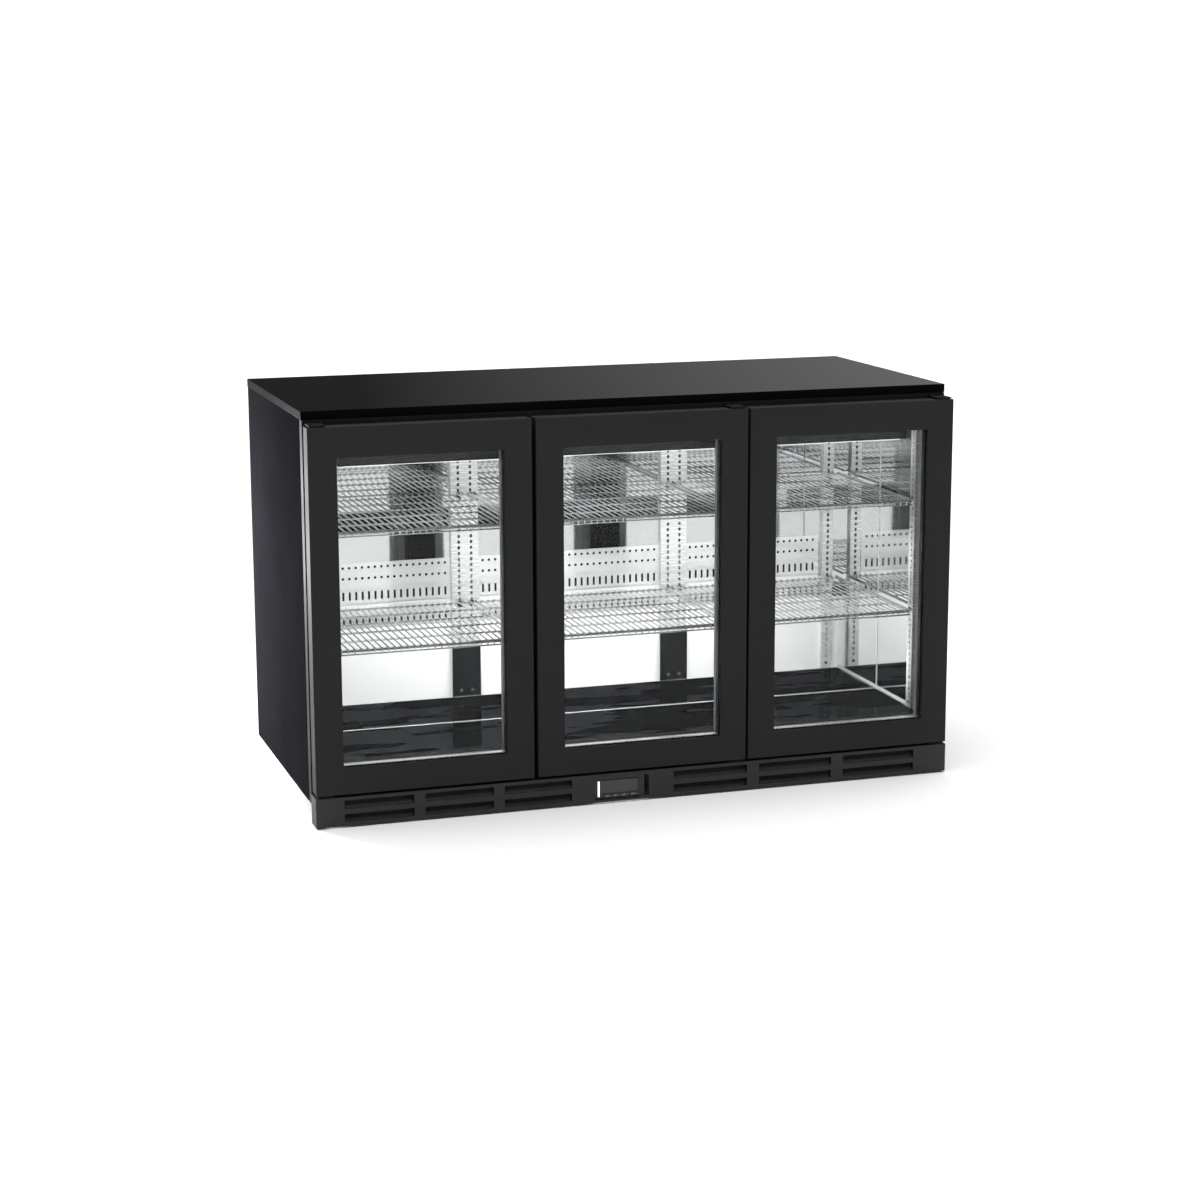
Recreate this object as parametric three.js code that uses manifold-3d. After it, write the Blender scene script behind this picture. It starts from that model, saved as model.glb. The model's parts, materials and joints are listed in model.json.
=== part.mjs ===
// Under counter fridge with three glass doors, for drinks behind a bar.
// Millimetres, +Z up, doors facing -Y, +X to the right as seen from the front.
// The origin is on the floor, in the middle of the footprint.
import * as THREE from 'three';
import { mergeVertices } from 'three/addons/utils/BufferGeometryUtils.js';
import Module from 'manifold-3d';

const wasm = await Module();
wasm.setup();

// ---- Driving dimensions ------------------------------------------------------
const WIDTH = 1350; // over the worktop
const DEPTH = 620; // door fronts to the back panel
const HEIGHT = 818; // floor to the worktop's upper face
const BAY = WIDTH / 3; // one door, one bay
const FIT = 0.3; // gap kept between pieces that touch

const WORKTOP_THICKNESS = 17;
const WORKTOP_FRONT = 49; // its front edge, behind the door fronts
const CABINET_BOTTOM = 40; // underside of the base pan, on its feet
const PLINTH_TOP = 62;
const SHEET = 3; // outer panels
const LINER = 1; // inner sheet

// Doors
const DOOR_THICKNESS = 40;
const DOOR_BOTTOM = 67;
const DOOR_TOP = 792;
const DOOR_EDGE_GAP = 2; // outer doors to the cabinet's sides
const FINGER_GAP = 8; // between the left and the middle door
const SEAM_GAP = 5; // between the middle and the right door
const WINDOW_WIDTH = 331;
const WINDOW_BOTTOM = 121;
const WINDOW_TOP = 731.5;
const GLASS_RECESS = 8;
const GLASS_THICKNESS = 21; // two panes and their spacer
const GLASS_HELD = 10; // how far the glass goes into the frame's groove
const GASKET_INSET = 11;
const GASKET_WIDTH = 12;

// Hinges
const PIVOT_INSET = 11; // from the door's side
const PIVOT_BEHIND = 9; // behind the door's front
const PIN_RADIUS = 4;
const PIN_LENGTH = 14;
const PIN_BORE_RADIUS = 4.5;
const ARM = { behindPin: 7, pastPin: 25, sheet: 3 };

// Front frame, behind the doors
const FRAME_FRONT = 46;
const FRAME_BACK = 70;
const MULLION_WIDTH = 66;

// Storage space
const INSIDE_HALF = 640;
const INSIDE_FLOOR = 120;
const INSIDE_TOP = 764;
const INSIDE_BACK = 500;
const SHELF_LEVELS = { lower: 338, upper: 574 };
const SHELF_FRONT = 84;
const SHELF_DEPTH = 400;
const WIRE = 3;
const WIRE_PITCH = 40.5; // every third wire of the real shelf
const BAR = 4; // shelf cross bars
const SHELF_LIP = 14; // how far a shelf's front edge turns down
const SHELF_GAP = 10; // between two shelves
const POST_WIDTH = 60; // pilaster with two rows of slots
const POST_DEPTH = 10;
const POST_X = 238; // middle posts at the back
const STRIP_WIDTH = 25; // pilaster with one row of slots
const STRIP_X = 606; // end strips at the back
const COLUMN_SPACING = 27; // between the two rows of slots
const POST_SHEET = 1.5;
const SLOT = { width: 4, height: 9, start: 60, pitch: 100, count: 6 };

// Plinth; spans are [low, high]
const PLINTH_FRONT = 1;
const PLINTH_BOTTOM = 3;
const LOUVRE_ROWS = [[11, 27], [38, 55]];
const LOUVRE_REACH = 12;
const LOUVRES = [
  { start: -617, width: 140, pitch: 163, count: 3 },
  { start: 66, width: 160, pitch: 187, count: 3 },
];

// Controller in the plinth
const PANEL_X = [-101, 13];
const PANEL_Z = [7.5, 53.5];
const PANEL_FRONT = 8; // the controller's face, behind the door fronts
const PANEL_RECESS = 7; // deep slot beside the controller's face
const KEY_WIDTH = 9;
const KEY_HEIGHT = 4;
const KEY_Z = 13.5;
const KEYS = [{ name: 'set', x: -74 }, { name: 'up', x: -57 }, { name: 'down', x: -39 },
  { name: 'light', x: -19 }];

// Cold air duct behind the back liner, and the machine space below it
const COVER = { half: 587.5, bottom: 286, top: 430 }; // the air cover in the back liner
const AIR_ROWS = [[294, 312], [349, 367], [390, 425]]; // its rows of openings
const AIR_SLOT = { width: 8, pitch: 56, count: 21 };
const DUCT = { x: [-560, 560], y: 552, z: [276, 460] };
const MACHINE = { x: [120, 600], y: 524, top: 266 };
const EVAPORATOR = { x: [-300, 180], y: [508, 546], z: [338, 452], fins: 16 };
const CONDENSER = { x: [150, 290], y: [532, 610], z: [62, 200], fins: 10 };
const FIN_GAP = 2; // fin thickness left between two gaps
const FIN_ROOT = 8; // solid depth behind the gaps
const EVAPORATOR_FAN = { at: [300, 528, 395], radius: 52, depth: 16 };
const CONDENSER_FAN = { at: [325, 571, 125], radius: 38, depth: 16 };
const FAN_BLADES = 5;
const BLADE_PITCH = 0.45; // radians
const COMPRESSOR = [470, 571, 53];

// Back panel
const VENT_X = [160, 560];
const VENT_BOTTOM = 70;
const VENT_PITCH = 20;
const VENT_HEIGHT = 8;
const VENT_SLOTS = 7;
const INLET = { x: 170, z: 243, halfWidth: 26, halfHeight: 16, depth: 24 };

// ---- Finishes ----------------------------------------------------------------
const finish = (color, roughness, metalness) =>
  new THREE.MeshStandardMaterial({ color, roughness, metalness });
const FINISH = {
  worktop: () => finish(0x101014, 0.12, 0.0),
  blackPaint: () => finish(0x2d2d2d, 0.5, 0.1),
  sidePaint: () => finish(0x26262b, 0.35, 0.1),
  plinth: () => finish(0x343434, 0.55, 0.0),
  mirrorSteel: () => finish(0xdadcde, 0.06, 1.0),
  chromeWire: () => finish(0xd2d4d6, 0.15, 1.0),
  zinc: () => finish(0x9a9da0, 0.45, 0.8),
  glass: () => new THREE.MeshStandardMaterial({
    color: 0xdfe8ea, roughness: 0.03, metalness: 0, transparent: true, opacity: 0.25,
  }),
  rubber: () => finish(0x1a1a1b, 0.8, 0.0),
  foam: () => finish(0xd8c98a, 0.95, 0.0),
  aluminium: () => finish(0xc2c5c8, 0.35, 0.9),
  machine: () => finish(0x17181a, 0.4, 0.3),
  panel: () => finish(0x3c3e40, 0.3, 0.0),
  key: () => finish(0xa8aaac, 0.5, 0.0),
};

// ---- Solid helpers -----------------------------------------------------------
function box([x0, x1], [y0, y1], [z0, z1]) {
  const geometry = new THREE.BoxGeometry(x1 - x0, y1 - y0, z1 - z0);
  return geometry.translate((x0 + x1) / 2, (y0 + y1) / 2, (z0 + z1) / 2);
}

function solid(geometry) {
  const bare = geometry.clone();
  bare.deleteAttribute('normal');
  bare.deleteAttribute('uv');
  const merged = mergeVertices(bare, 1e-4);
  return new wasm.Manifold(new wasm.Mesh({
    numProp: 3,
    vertProperties: new Float32Array(merged.attributes.position.array),
    triVerts: new Uint32Array(merged.index.array),
  }));
}

function toGeometry(manifold) {
  const mesh = manifold.getMesh();
  const geometry = new THREE.BufferGeometry();
  geometry.setAttribute('position', new THREE.BufferAttribute(mesh.vertProperties, 3));
  geometry.setIndex(new THREE.BufferAttribute(mesh.triVerts, 1));
  geometry.computeVertexNormals();
  return geometry;
}

const join = (...pieces) =>
  toGeometry(pieces.map(solid).reduce((whole, piece) => whole.add(piece)));

const cut = (body, ...tools) =>
  toGeometry(tools.map(solid).reduce((left, tool) => left.subtract(tool), solid(body)));

// An upright rod with its middle at (x, y), from z0 to z1.
function rod(radius, x, y, [z0, z1], sides = 12) {
  const geometry = new THREE.CylinderGeometry(radius, radius, z1 - z0, sides);
  return geometry.rotateX(Math.PI / 2).translate(x, y, (z0 + z1) / 2);
}

// A rectangle with a rectangular hole, drawn in X and Z and `thickness` deep in Y from y0.
function ring([x0, x1], [z0, z1], [hx0, hx1], [hz0, hz1], y0, thickness) {
  const outline = new THREE.Shape([[x0, z0], [x1, z0], [x1, z1], [x0, z1]]
    .map(([x, z]) => new THREE.Vector2(x, z)));
  outline.holes.push(new THREE.Path([[hx0, hz0], [hx0, hz1], [hx1, hz1], [hx1, hz0]]
    .map(([x, z]) => new THREE.Vector2(x, z))));
  const geometry = new THREE.ExtrudeGeometry(outline, { depth: thickness, bevelEnabled: false });
  return geometry.rotateX(Math.PI / 2).translate(0, y0 + thickness, 0);
}

const range = (count) => Array.from({ length: count }, (_, i) => i);

// A span given as distances from the middle plane, put on the left (-1) or right (+1) side.
const onSide = (side, [near, far]) => (side > 0 ? [near, far] : [-far, -near]);

// ---- Assembly ----------------------------------------------------------------
const fridge = new THREE.Group();
const cabinet = new THREE.Group(); // y in this group is the distance behind the door fronts
cabinet.position.y = -DEPTH / 2;
fridge.add(cabinet);

function add(name, geometry, material, [x, y, z] = [0, 0, 0], parent = cabinet) {
  const mesh = new THREE.Mesh(geometry, material);
  mesh.name = name;
  mesh.position.set(x, y, z);
  parent.add(mesh);
  return mesh;
}

const HALF = WIDTH / 2;
const CASING_TOP = HEIGHT - WORKTOP_THICKNESS - FIT;
const CASING_BOTTOM = CABINET_BOTTOM + SHEET + FIT;
const SIDES = [['left', -1], ['right', 1]];

// ---- Outer casing ------------------------------------------------------------
const SIDE_FRONT = FRAME_BACK + 5;
const SIDE_OUTER = HALF - 1;
const SIDE_FLANGE = 14;

function buildCasing() {
  add('worktop', box([-HALF, HALF], [WORKTOP_FRONT, DEPTH], [HEIGHT - WORKTOP_THICKNESS, HEIGHT]),
    FINISH.worktop());

  // A side panel is a flat sheet with a folded front edge.
  for (const [name, side] of SIDES) {
    const span = [CABINET_BOTTOM, CASING_TOP];
    const skin = box(onSide(side, [SIDE_OUTER - SHEET, SIDE_OUTER]), [SIDE_FRONT, DEPTH], span);
    const fold = box(onSide(side, [SIDE_OUTER - SIDE_FLANGE, SIDE_OUTER - 1]),
      [SIDE_FRONT, SIDE_FRONT + SHEET], span);
    add(`side_panel_${name}`, join(skin, fold), FINISH.sidePaint());
  }

  const inner = SIDE_OUTER - SHEET - FIT;
  add('base_pan', box([-inner, inner], [SIDE_FRONT + SHEET + FIT, DEPTH - SHEET - FIT],
    [CABINET_BOTTOM, CABINET_BOTTOM + SHEET]), FINISH.zinc());

  // The back panel has air slots over the machine space and a hole for the power inlet.
  const slots = range(VENT_SLOTS).map((i) => box(VENT_X, [DEPTH - 2 * SHEET, DEPTH + 1],
    [VENT_BOTTOM + i * VENT_PITCH, VENT_BOTTOM + i * VENT_PITCH + VENT_HEIGHT]));
  const inletHole = box([INLET.x - INLET.halfWidth, INLET.x + INLET.halfWidth],
    [DEPTH - 2 * SHEET, DEPTH + 1], [INLET.z - INLET.halfHeight, INLET.z + INLET.halfHeight]);
  add('back_panel', cut(box([-inner, inner], [DEPTH - SHEET, DEPTH], [CABINET_BOTTOM, CASING_TOP]),
    ...slots, inletHole), FINISH.zinc());
}

function buildFoam() {
  const outer = box([-SIDE_OUTER + SIDE_FLANGE + FIT, SIDE_OUTER - SIDE_FLANGE - FIT],
    [FRAME_BACK + FIT, DEPTH - SHEET - FIT], [CASING_BOTTOM, CASING_TOP]);
  const storage = box([-INSIDE_HALF - LINER - FIT, INSIDE_HALF + LINER + FIT],
    [FRAME_BACK - 1, INSIDE_BACK + LINER + FIT],
    [INSIDE_FLOOR - LINER - FIT, INSIDE_TOP + LINER + FIT]);
  const duct = box(DUCT.x, [INSIDE_BACK - 1, DUCT.y], DUCT.z);
  const machine = box(MACHINE.x, [MACHINE.y, DEPTH + 1], [CASING_BOTTOM - 1, MACHINE.top]);
  add('foam_body', cut(outer, storage, duct, machine), FINISH.foam());
}

// ---- Inner liner: five mirror-finished sheets ----------------------------------
function buildLiner() {
  const across = [-INSIDE_HALF + FIT, INSIDE_HALF - FIT];
  const deep = [FRAME_BACK + FIT, INSIDE_BACK - FIT];
  const tall = [INSIDE_FLOOR - LINER, INSIDE_TOP + LINER];
  add('liner_floor', box(across, deep, [INSIDE_FLOOR - LINER, INSIDE_FLOOR]), FINISH.mirrorSteel());
  add('liner_ceiling', box(across, deep, [INSIDE_TOP, INSIDE_TOP + LINER]), FINISH.mirrorSteel());
  for (const [name, side] of SIDES) {
    add(`liner_${name}`, box(onSide(side, [INSIDE_HALF, INSIDE_HALF + LINER]), deep, tall),
      FINISH.mirrorSteel());
  }
  // The back sheet has a long opening for the perforated air cover.
  add('liner_back', ring([-INSIDE_HALF, INSIDE_HALF], tall, [-COVER.half, COVER.half],
    [COVER.bottom, COVER.top], INSIDE_BACK, LINER), FINISH.mirrorSteel());
}

// ---- Front frame and mullions --------------------------------------------------
const FRAME_HALF = INSIDE_HALF - 3;
const FRAME_HEADER = INSIDE_TOP - 2;

function buildFrontFrame() {
  add('front_frame', ring([-HALF + 1.5, HALF - 1.5], [CABINET_BOTTOM, CASING_TOP],
    [-FRAME_HALF, FRAME_HALF], [INSIDE_FLOOR, FRAME_HEADER], FRAME_FRONT,
    FRAME_BACK - FRAME_FRONT), FINISH.blackPaint());
  for (const [name, side] of SIDES) {
    const x = side * BAY / 2;
    add(`mullion_${name}`, box([-MULLION_WIDTH / 2, MULLION_WIDTH / 2], [FRAME_FRONT, FRAME_BACK],
      [INSIDE_FLOOR + FIT, FRAME_HEADER - FIT]), FINISH.blackPaint(), [x, 0, 0]);
  }
}

// ---- Plinth with louvres, controller and keys ----------------------------------
function buildPlinth() {
  const outer = HALF - 1;
  const span = [PLINTH_BOTTOM, PLINTH_TOP];
  const face = box([-outer, outer], [PLINTH_FRONT, PLINTH_FRONT + SHEET], span);
  const topFlange = box([-outer, outer], [PLINTH_FRONT, FRAME_FRONT - 6], [PLINTH_TOP - 2, PLINTH_TOP]);
  const ends = SIDES.map(([, side]) => box(onSide(side, [outer - SHEET, outer]),
    [PLINTH_FRONT, FRAME_FRONT - FIT], span));

  const slots = [];
  const blades = [];
  for (const group of LOUVRES) {
    for (const i of range(group.count)) {
      const x = [group.start + i * group.pitch, group.start + i * group.pitch + group.width];
      for (const z of LOUVRE_ROWS) {
        slots.push(box(x, [PLINTH_FRONT - 1, PLINTH_FRONT + SHEET + 1], z));
        blades.push(louvreBlade(x, z));
      }
    }
  }
  const window = box(PANEL_X, [PLINTH_FRONT - 1, PLINTH_FRONT + SHEET + 1], PANEL_Z);
  const open = cut(join(face, topFlange, ...ends), ...slots, window);
  add('plinth_grille', join(open, ...blades), FINISH.plinth());
}

// A blade rises from the lower lip of its slot towards the back.
function louvreBlade([x0, x1], [z0, z1]) {
  const y0 = PLINTH_FRONT + 0.2;
  const y1 = PLINTH_FRONT + LOUVRE_REACH;
  const outline = new THREE.Shape([[y0, z0 - 0.5], [y0 + 2, z0 - 0.5], [y1, z1 - 4], [y1 - 2, z1 - 4]]
    .map(([y, z]) => new THREE.Vector2(y, z)));
  const blade = new THREE.ExtrudeGeometry(outline, { depth: x1 - x0 + 1, bevelEnabled: false });
  // The outline's axes become Y and Z, and its depth runs along X.
  const turn = new THREE.Matrix4().makeBasis(
    new THREE.Vector3(0, 1, 0), new THREE.Vector3(0, 0, 1), new THREE.Vector3(1, 0, 0));
  return blade.applyMatrix4(turn).translate(x0 - 0.5, 0, 0);
}

function buildController() {
  const [x0, x1] = [PANEL_X[0] + FIT, PANEL_X[1] - FIT];
  const [z0, z1] = [PANEL_Z[0] + FIT, PANEL_Z[1] - FIT];
  const body = box([x0, x1], [PANEL_FRONT, PANEL_FRONT + 30], [z0, z1]);
  const sideRecess = box([x1 - PANEL_RECESS, x1 + 1], [PANEL_FRONT - 1, PANEL_FRONT + 20],
    [z0 + 2, z1 - 2]);
  const display = box([x0 + 9, x1 - 15], [PANEL_FRONT - 1, PANEL_FRONT + 1.5],
    [KEY_Z + 5, z1 - 7]);
  const pockets = KEYS.map(({ x }) => box([x - KEY_WIDTH / 2 - 0.4, x + KEY_WIDTH / 2 + 0.4],
    [PANEL_FRONT - 1, PANEL_FRONT + 6], [KEY_Z - KEY_HEIGHT / 2 - 0.4, KEY_Z + KEY_HEIGHT / 2 + 0.4]));
  add('controller_housing', cut(body, sideRecess, display, ...pockets), FINISH.panel());
  for (const { name, x } of KEYS) {
    add(`key_${name}`, box([-KEY_WIDTH / 2, KEY_WIDTH / 2], [0, 4.5],
      [-KEY_HEIGHT / 2, KEY_HEIGHT / 2]), FINISH.key(), [x, PANEL_FRONT - 0.8, KEY_Z]);
  }
}

// ---- Feet ----------------------------------------------------------------------
function buildFeet() {
  const profile = [[0, 0], [22, 0], [22, 7], [9, 11], [9, 26], [15, 26], [15, 34],
    [9, 34], [9, CABINET_BOTTOM - FIT], [0, CABINET_BOTTOM - FIT]];
  for (const [place, y] of [['front', 100], ['rear', DEPTH - 45]]) {
    for (const [name, side] of SIDES) {
      const foot = new THREE.LatheGeometry(profile.map(([r, z]) => new THREE.Vector2(r, z)), 16);
      add(`foot_${place}_${name}`, toGeometry(solid(foot.rotateX(Math.PI / 2))), FINISH.rubber(),
        [side * (HALF - 50), y, 0]);
    }
  }
}

// ---- Doors and hinges ----------------------------------------------------------
const DOORS = [
  { name: 'left', x: [-HALF + DOOR_EDGE_GAP, -BAY / 2 - FINGER_GAP / 2], hingeSide: -1 },
  { name: 'middle', x: [-BAY / 2 + FINGER_GAP / 2, BAY / 2 - SEAM_GAP / 2], hingeSide: 1 },
  { name: 'right', x: [BAY / 2 + SEAM_GAP / 2, HALF - DOOR_EDGE_GAP], hingeSide: 1 },
];

// A door's group stands at the middle of its front face, level with its lower edge.
function buildDoor({ name, x: [left, right], hingeSide }) {
  const door = new THREE.Group();
  door.position.set((left + right) / 2, 0, DOOR_BOTTOM);
  cabinet.add(door);
  const half = (right - left) / 2;
  const height = DOOR_TOP - DOOR_BOTTOM;
  const windowHalf = WINDOW_WIDTH / 2;
  const windowZ = [WINDOW_BOTTOM - DOOR_BOTTOM, WINDOW_TOP - DOOR_BOTTOM];
  const pivot = hingeSide * (half - PIVOT_INSET);

  const frame = ring([-half, half], [0, height], [-windowHalf, windowHalf], windowZ,
    0, DOOR_THICKNESS);
  const groove = box([-windowHalf - GLASS_HELD, windowHalf + GLASS_HELD],
    [GLASS_RECESS, GLASS_RECESS + GLASS_THICKNESS + 2 * FIT],
    [windowZ[0] - GLASS_HELD, windowZ[1] + GLASS_HELD]);
  const bores = [[-1, PIN_LENGTH + 2], [height - PIN_LENGTH - 2, height + 1]]
    .map((z) => rod(PIN_BORE_RADIUS, pivot, PIVOT_BEHIND, z));
  add(`door_frame_${name}`, cut(frame, groove, ...bores), FINISH.blackPaint(), [0, 0, 0], door);

  const held = GLASS_HELD - FIT;
  add(`door_glass_${name}`, box([-windowHalf - held, windowHalf + held], [0, GLASS_THICKNESS],
    [windowZ[0] - held, windowZ[1] + held]), FINISH.glass(), [0, GLASS_RECESS + FIT, 0], door);

  const seal = half - GASKET_INSET;
  const sealZ = [GASKET_INSET, height - GASKET_INSET];
  add(`door_gasket_${name}`, ring([-seal, seal], sealZ, [-seal + GASKET_WIDTH, seal - GASKET_WIDTH],
    [sealZ[0] + GASKET_WIDTH, sealZ[1] - GASKET_WIDTH], DOOR_THICKNESS + FIT,
    FRAME_FRONT - DOOR_THICKNESS - 2 * FIT), FINISH.rubber(), [0, 0, 0], door);

  buildHinge(`hinge_lower_${name}`, door.position.x + pivot, -hingeSide, DOOR_BOTTOM - 1, 1);
  buildHinge(`hinge_upper_${name}`, door.position.x + pivot, -hingeSide, DOOR_TOP + 1, -1);
}

// A hinge is a flat arm with a leaf screwed to the front frame and a pin into the door.
// `up` is 1 under the door and -1 over it; `inward` points along the door, away from its edge.
function buildHinge(name, x, inward, z, up) {
  const sorted = (a, b) => [Math.min(a, b), Math.max(a, b)];
  const across = sorted(x - inward * ARM.behindPin, x + inward * ARM.pastPin);
  const back = FRAME_FRONT - FIT;
  const arm = box(across, [PIVOT_BEHIND - ARM.behindPin, back], sorted(z, z - ARM.sheet * up));
  const leaf = box(across, [back - ARM.sheet, back],
    up > 0 ? [CABINET_BOTTOM + 6, z] : [z, CASING_TOP - 0.5]);
  const pin = rod(PIN_RADIUS, x, PIVOT_BEHIND, sorted(z - ARM.sheet / 2 * up, z + PIN_LENGTH * up));
  add(name, join(arm, leaf, pin), FINISH.zinc());
}

// ---- Shelving ------------------------------------------------------------------
// A pilaster is a channel with rows of slots; it stands with its back on y = 0, facing -Y.
function pilaster(width, depth, height, columns) {
  const inner = width / 2 - POST_SHEET;
  const body = box([-width / 2, width / 2], [-depth, 0], [0, height]);
  const hollow = box([-inner, inner], [-depth + POST_SHEET, 1], [-1, height + 1]);
  const slots = columns.flatMap((x) => range(SLOT.count).map((i) => {
    const z = SLOT.start + i * SLOT.pitch;
    return box([x - SLOT.width / 2, x + SLOT.width / 2], [-depth - 1, -depth + POST_SHEET + 1],
      [z, z + SLOT.height]);
  }));
  return cut(body, hollow, ...slots);
}

function buildPilasters() {
  const z = INSIDE_FLOOR + 3;
  const height = INSIDE_TOP - INSIDE_FLOOR - 8;
  const wide = () => pilaster(POST_WIDTH, POST_DEPTH, height,
    [-COLUMN_SPACING / 2, COLUMN_SPACING / 2]);
  const narrow = () => pilaster(STRIP_WIDTH, POST_DEPTH, height, [0]);
  for (const [name, side] of SIDES) {
    add(`pilaster_back_${name}`, narrow(), FINISH.mirrorSteel(),
      [side * STRIP_X, INSIDE_BACK - FIT, z]);
    add(`pilaster_back_middle_${name}`, wide(), FINISH.mirrorSteel(),
      [side * POST_X, INSIDE_BACK - FIT, z]);
    // The strip on a side wall is turned to face the storage space.
    const strip = add(`pilaster_side_${name}`, narrow(), FINISH.mirrorSteel(),
      [side * (INSIDE_HALF - FIT), SHELF_FRONT + 12, z]);
    strip.rotation.z = -side * Math.PI / 2;
    // The post behind a mullion faces the back.
    const post = add(`pilaster_mullion_${name}`, wide(), FINISH.mirrorSteel(),
      [side * BAY / 2, FRAME_BACK + FIT, z]);
    post.rotation.z = Math.PI;
  }
}

// Wires run from front to back on three cross bars, with a lip bar below the front edge.
function wireShelf(width) {
  const count = Math.round((width - WIRE) / WIRE_PITCH);
  const step = (width - WIRE) / count;
  const wires = range(count + 1).map((i) => {
    const x = -width / 2 + i * step;
    return box([x, x + WIRE], [0, SHELF_DEPTH], [-WIRE, 0]);
  });
  const weld = 0.5; // how far a cross bar sinks into the wires
  const bars = [BAR, SHELF_DEPTH / 2, SHELF_DEPTH - 2 * BAR].map((y) =>
    box([-width / 2, width / 2], [y, y + BAR], [weld - WIRE - BAR, weld - WIRE]));
  const lip = box([-width / 2, width / 2], [0, WIRE], [-SHELF_LIP, -SHELF_LIP + WIRE]);
  const posts = [-width / 2, -WIRE / 2, width / 2 - WIRE].map((x) =>
    box([x, x + WIRE], [0, WIRE], [-SHELF_LIP, -1]));
  return join(...wires, ...bars, lip, ...posts);
}

function buildShelves() {
  const outerWidth = INSIDE_HALF - POST_DEPTH - 3 - BAY / 2 - SHELF_GAP / 2;
  const bays = [
    { name: 'left', x: -BAY / 2 - SHELF_GAP / 2 - outerWidth / 2, width: outerWidth },
    { name: 'middle', x: 0, width: BAY - SHELF_GAP },
    { name: 'right', x: BAY / 2 + SHELF_GAP / 2 + outerWidth / 2, width: outerWidth },
  ];
  for (const [level, z] of Object.entries(SHELF_LEVELS)) {
    for (const { name, x, width } of bays) {
      add(`shelf_${level}_${name}`, wireShelf(width), FINISH.chromeWire(), [x, SHELF_FRONT, z]);
    }
  }
}

// ---- Cooling -------------------------------------------------------------------
// A finned block is one comb: a solid core with slots cut between the fins.
function finBlock({ x, y, z, fins }) {
  const pitch = (x[1] - x[0]) / fins;
  const gaps = range(fins - 1).map((i) => {
    const from = x[0] + (i + 0.5) * pitch + FIN_GAP / 2;
    return box([from, from + pitch - FIN_GAP], [y[0] - 1, y[1] - FIN_ROOT], [z[0] - 1, z[1] + 1]);
  });
  return cut(box(x, y, z), ...gaps);
}

// A fan has a hub and pitched blades; its axis is Y.
function fan({ radius, depth }) {
  const hub = new THREE.CylinderGeometry(radius * 0.3, radius * 0.3, depth, 12);
  const blades = range(FAN_BLADES).map((i) => {
    const blade = new THREE.BoxGeometry(radius * 0.74, 1.6, radius * 0.42);
    blade.translate(radius * 0.63, 0, 0).rotateX(BLADE_PITCH);
    return blade.rotateY(i * 2 * Math.PI / FAN_BLADES);
  });
  return join(hub, ...blades);
}

function buildCooling() {
  const slots = AIR_ROWS.flatMap((row) => range(AIR_SLOT.count).map((i) => {
    const x = (i - (AIR_SLOT.count - 1) / 2) * AIR_SLOT.pitch;
    return box([x - AIR_SLOT.width / 2, x + AIR_SLOT.width / 2], [INSIDE_BACK - 1, INSIDE_BACK + 2],
      row);
  }));
  const cover = box([-COVER.half + FIT, COVER.half - FIT], [INSIDE_BACK, INSIDE_BACK + LINER],
    [COVER.bottom + FIT, COVER.top - FIT]);
  add('evaporator_cover', cut(cover, ...slots), FINISH.mirrorSteel());
  add('evaporator', finBlock(EVAPORATOR), FINISH.aluminium());
  add('evaporator_fan', fan(EVAPORATOR_FAN), FINISH.machine(), EVAPORATOR_FAN.at);

  add('condenser', finBlock(CONDENSER), FINISH.aluminium());
  const condenserFan = add('condenser_fan', fan(CONDENSER_FAN), FINISH.machine(), CONDENSER_FAN.at);
  condenserFan.rotation.z = Math.PI / 2;

  // The compressor is an oval shell on a foot plate, with its terminal box on one end.
  const profile = [[0, 0], [30, 0], [42, 12], [42, 96], [38, 114], [24, 128], [0, 132]];
  const shell = new THREE.LatheGeometry(profile.map(([r, z]) => new THREE.Vector2(r, z)), 20);
  shell.rotateX(Math.PI / 2).scale(1.55, 1, 1);
  const plate = box([-80, 80], [-42, 42], [-9, -5]);
  const legs = box([-50, 50], [-24, 24], [-6, 4]);
  const terminal = box([58, 84], [-16, 16], [30, 74]);
  add('compressor', join(shell, plate, legs, terminal), FINISH.machine(), COMPRESSOR);
}

function buildInlet() {
  const halfWidth = INLET.halfWidth - FIT;
  const halfHeight = INLET.halfHeight - FIT;
  const body = box([-halfWidth, halfWidth], [DEPTH - INLET.depth, DEPTH], [-halfHeight, halfHeight]);
  const socketFloor = DEPTH - 16;
  const socket = box([-12, 12], [socketFloor, DEPTH + 1], [-8, 8]);
  const pins = [[-7, -2], [0, 3], [7, -2]].map(([x, z]) =>
    box([x - 1, x + 1], [socketFloor - 1, DEPTH - 3], [z - 2, z + 2]));
  add('power_inlet', join(cut(body, socket), ...pins), FINISH.machine(), [INLET.x, 0, INLET.z]);
}

buildCasing();
buildFoam();
buildLiner();
buildFrontFrame();
buildPlinth();
buildController();
buildFeet();
DOORS.forEach(buildDoor);
buildPilasters();
buildShelves();
buildCooling();
buildInlet();

export default fridge;
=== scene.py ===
"""Looks of an under counter fridge with three glass doors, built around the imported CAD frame.

Metres, +Z up, doors facing -Y, +X to the right. Lengths that belong to one piece are named where it is made.
"""
import json
import math

import bmesh
import bpy
from mathutils import Matrix, Vector


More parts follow.
